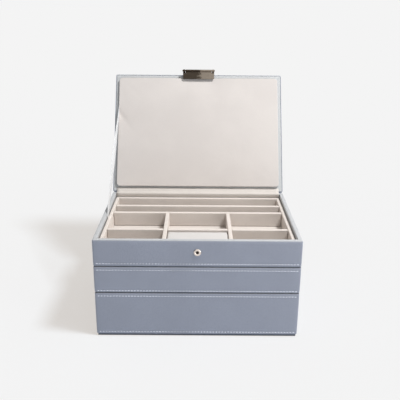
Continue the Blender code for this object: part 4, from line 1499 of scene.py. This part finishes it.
@dataclass(frozen=True)
class Studio:
    """Camera, pale floor and soft light."""

    camera_at: Point = (0.000122, -0.72326, 0.39943)
    pitch: float = 19.087
    yaw: float = 0.221
    roll: float = 0.449
    lens: float = 52.38
    sensor: float = 36.0
    backdrop: float = 0.905
    lift: float = 0.58
    shade_tint: Colour = (1.08, 1.0, 0.92)
    ambient: float = 0.39
    sky: Colour = (1.03, 1.0, 0.97)
    key: Lamp = Lamp("key", 66.0, (0.55, -0.26, 1.295), 0.14)
    fill: Lamp = Lamp("fill", 6.0, (0.62, -0.58, 0.20), 0.12)
    reach: float = 30.0

    def camera(self) -> None:
        """Stand the camera where the photographer's was."""
        p, y, r = np.radians([self.pitch, self.yaw, self.roll])
        ahead = np.array([np.sin(y) * np.cos(p), np.cos(y) * np.cos(p), -np.sin(p)])
        right = np.cross(ahead, (0, 0, 1))
        right /= np.linalg.norm(right)
        up = np.cross(right, ahead)
        axes = [right * np.cos(r) + up * np.sin(r), up * np.cos(r) - right * np.sin(r), -ahead]
        data = bpy.data.cameras.new("camera")
        data.lens = self.lens
        data.sensor_width = self.sensor
        item = put("camera", data)
        turn = Matrix(np.stack(axes, 1).tolist()).to_4x4()
        item.matrix_world = Matrix.Translation(self.camera_at) @ turn
        bpy.context.scene.camera = item

    def light(self) -> None:
        """A small lamp high on the right, a weak one low in front of it and an even pale sky."""
        for lamp in (self.key, self.fill):
            data = bpy.data.lights.new(lamp.name, "POINT")
            data.energy = lamp.watts
            data.shadow_soft_size = lamp.radius
            put(lamp.name, data).location = lamp.place
        world = bpy.data.worlds.new("sky")
        bpy.context.scene.world = world
        world.use_nodes = True
        shader = Shader.over(world.node_tree)
        seen = shader.seen()
        strength = seen * (self.backdrop - self.ambient) + self.ambient
        sky = {"Color": shader.mix(self.sky, (1, 1, 1), seen), "Strength": strength}
        shader.feed(world.node_tree.nodes["Background"], sky)

    def floor(self) -> None:
        """A wide pale floor that looks as bright as the backdrop all over.

        Its colour is backdrop / (sky + lamps), where a lamp gives watts / (4 pi^2) * h /
        (h^2 + r^2)^1.5 for its height h and the distance r from below it. A share of the floor
        is as bright as the backdrop wherever it is looked at. That share is warm and the rest is
        as much cooler, so that shadows look warm and the lit floor is white.
        """
        mesh = bpy.data.meshes.new("floor")
        square = np.array([(-1, -1, 0), (1, -1, 0), (1, 1, 0), (-1, 1, 0)]) * self.reach
        mesh.from_pydata(square.tolist(), [], [(0, 1, 2, 3)])
        shader = Shader("floor")
        light: Any = self.ambient
        for lamp in (self.key, self.fill):
            x, y, h = lamp.place
            ends = {0: shader.place, 1: (x, y, 0)}
            away = shader.add("ShaderNodeVectorMath", {"operation": "DISTANCE"}, ends, "Value")
            light = light + lamp.watts / (4 * np.pi**2) * h / (away * away + h * h) ** 1.5
        cool = [1 - (tint - 1) * self.lift / (1 - self.lift) for tint in self.shade_tint]
        even = [self.backdrop * c / (light + self.ambient * (sky - 1)) for c, sky in zip(cool, self.sky)]
        colour = shader.add("ShaderNodeCombineColor", inputs=dict(enumerate(even)))
        shader.feed(shader.surface, {"Base Color": colour, "Roughness": 0.9, "Specular IOR Level": 0.0})
        warm = {"Color": (*self.shade_tint, 1.0), "Strength": self.backdrop}
        shares = {
            0: shader.seen() * self.lift, 1: Signal(shader, shader.surface.outputs[0]),
            2: shader.add("ShaderNodeEmission", inputs=warm),
        }
        both = shader.add("ShaderNodeMixShader", inputs=shares)
        shader.feed(shader.tree.nodes["Material Output"], {"Surface": both})
        mesh.materials.append(shader.material)
        put("floor", mesh)

    def build(self) -> None:
        """Set up the whole studio."""
        bpy.context.scene.view_settings.view_transform = "Standard"
        for make in (self.camera, self.light, self.floor):
            make()


def dress_nodes() -> None:
    """Give every node that still shows its finish: boards, and the dark paper under the box, partly painted
    shadow.
    """
    for name, node in frame["nodes"].items():
        if node.hide_render:
            continue
        finish = Finish.BASE if name == "deep_floor_board" else Finish.BOARD
        node.data.materials.clear()
        node.data.materials.append(DRESS[finish])
        LOG.info("%s wears %s", name, finish.value.name)


def main() -> None:
    """Build the studio and then the box, from the ground up."""
    logging.basicConfig(level=logging.INFO, format="%(message)s")
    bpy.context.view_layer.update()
    Studio().build()
    DRESS.update({finish: finish.value.material() for finish in Finish})
    deep = (DividerBoard("deep_cross_divider"),)
    slim = (DividerBoard("top_rear_divider"), DividerBoard("top_middle_divider"))
    top = Tray("top", (*slim, *crossed("top", "front")), (0.0043,), trim_outside=0.0004, lap=0.0009)
    Tray("deep", deep, (0.0028, -0.0040), recess=0.0, foot_drop=0.0028).build()
    Tray("middle", crossed("middle", "long"), (0.0030, -0.0040)).build()
    top.build()
    DisplayPad().build()
    for part in (Lid, Strips, Clasp):
        part(Turn(), top.path.half_x, top.path.half_y, top.heights[1]).build()
    dress_nodes()


if __name__ == "__main__":
    main()
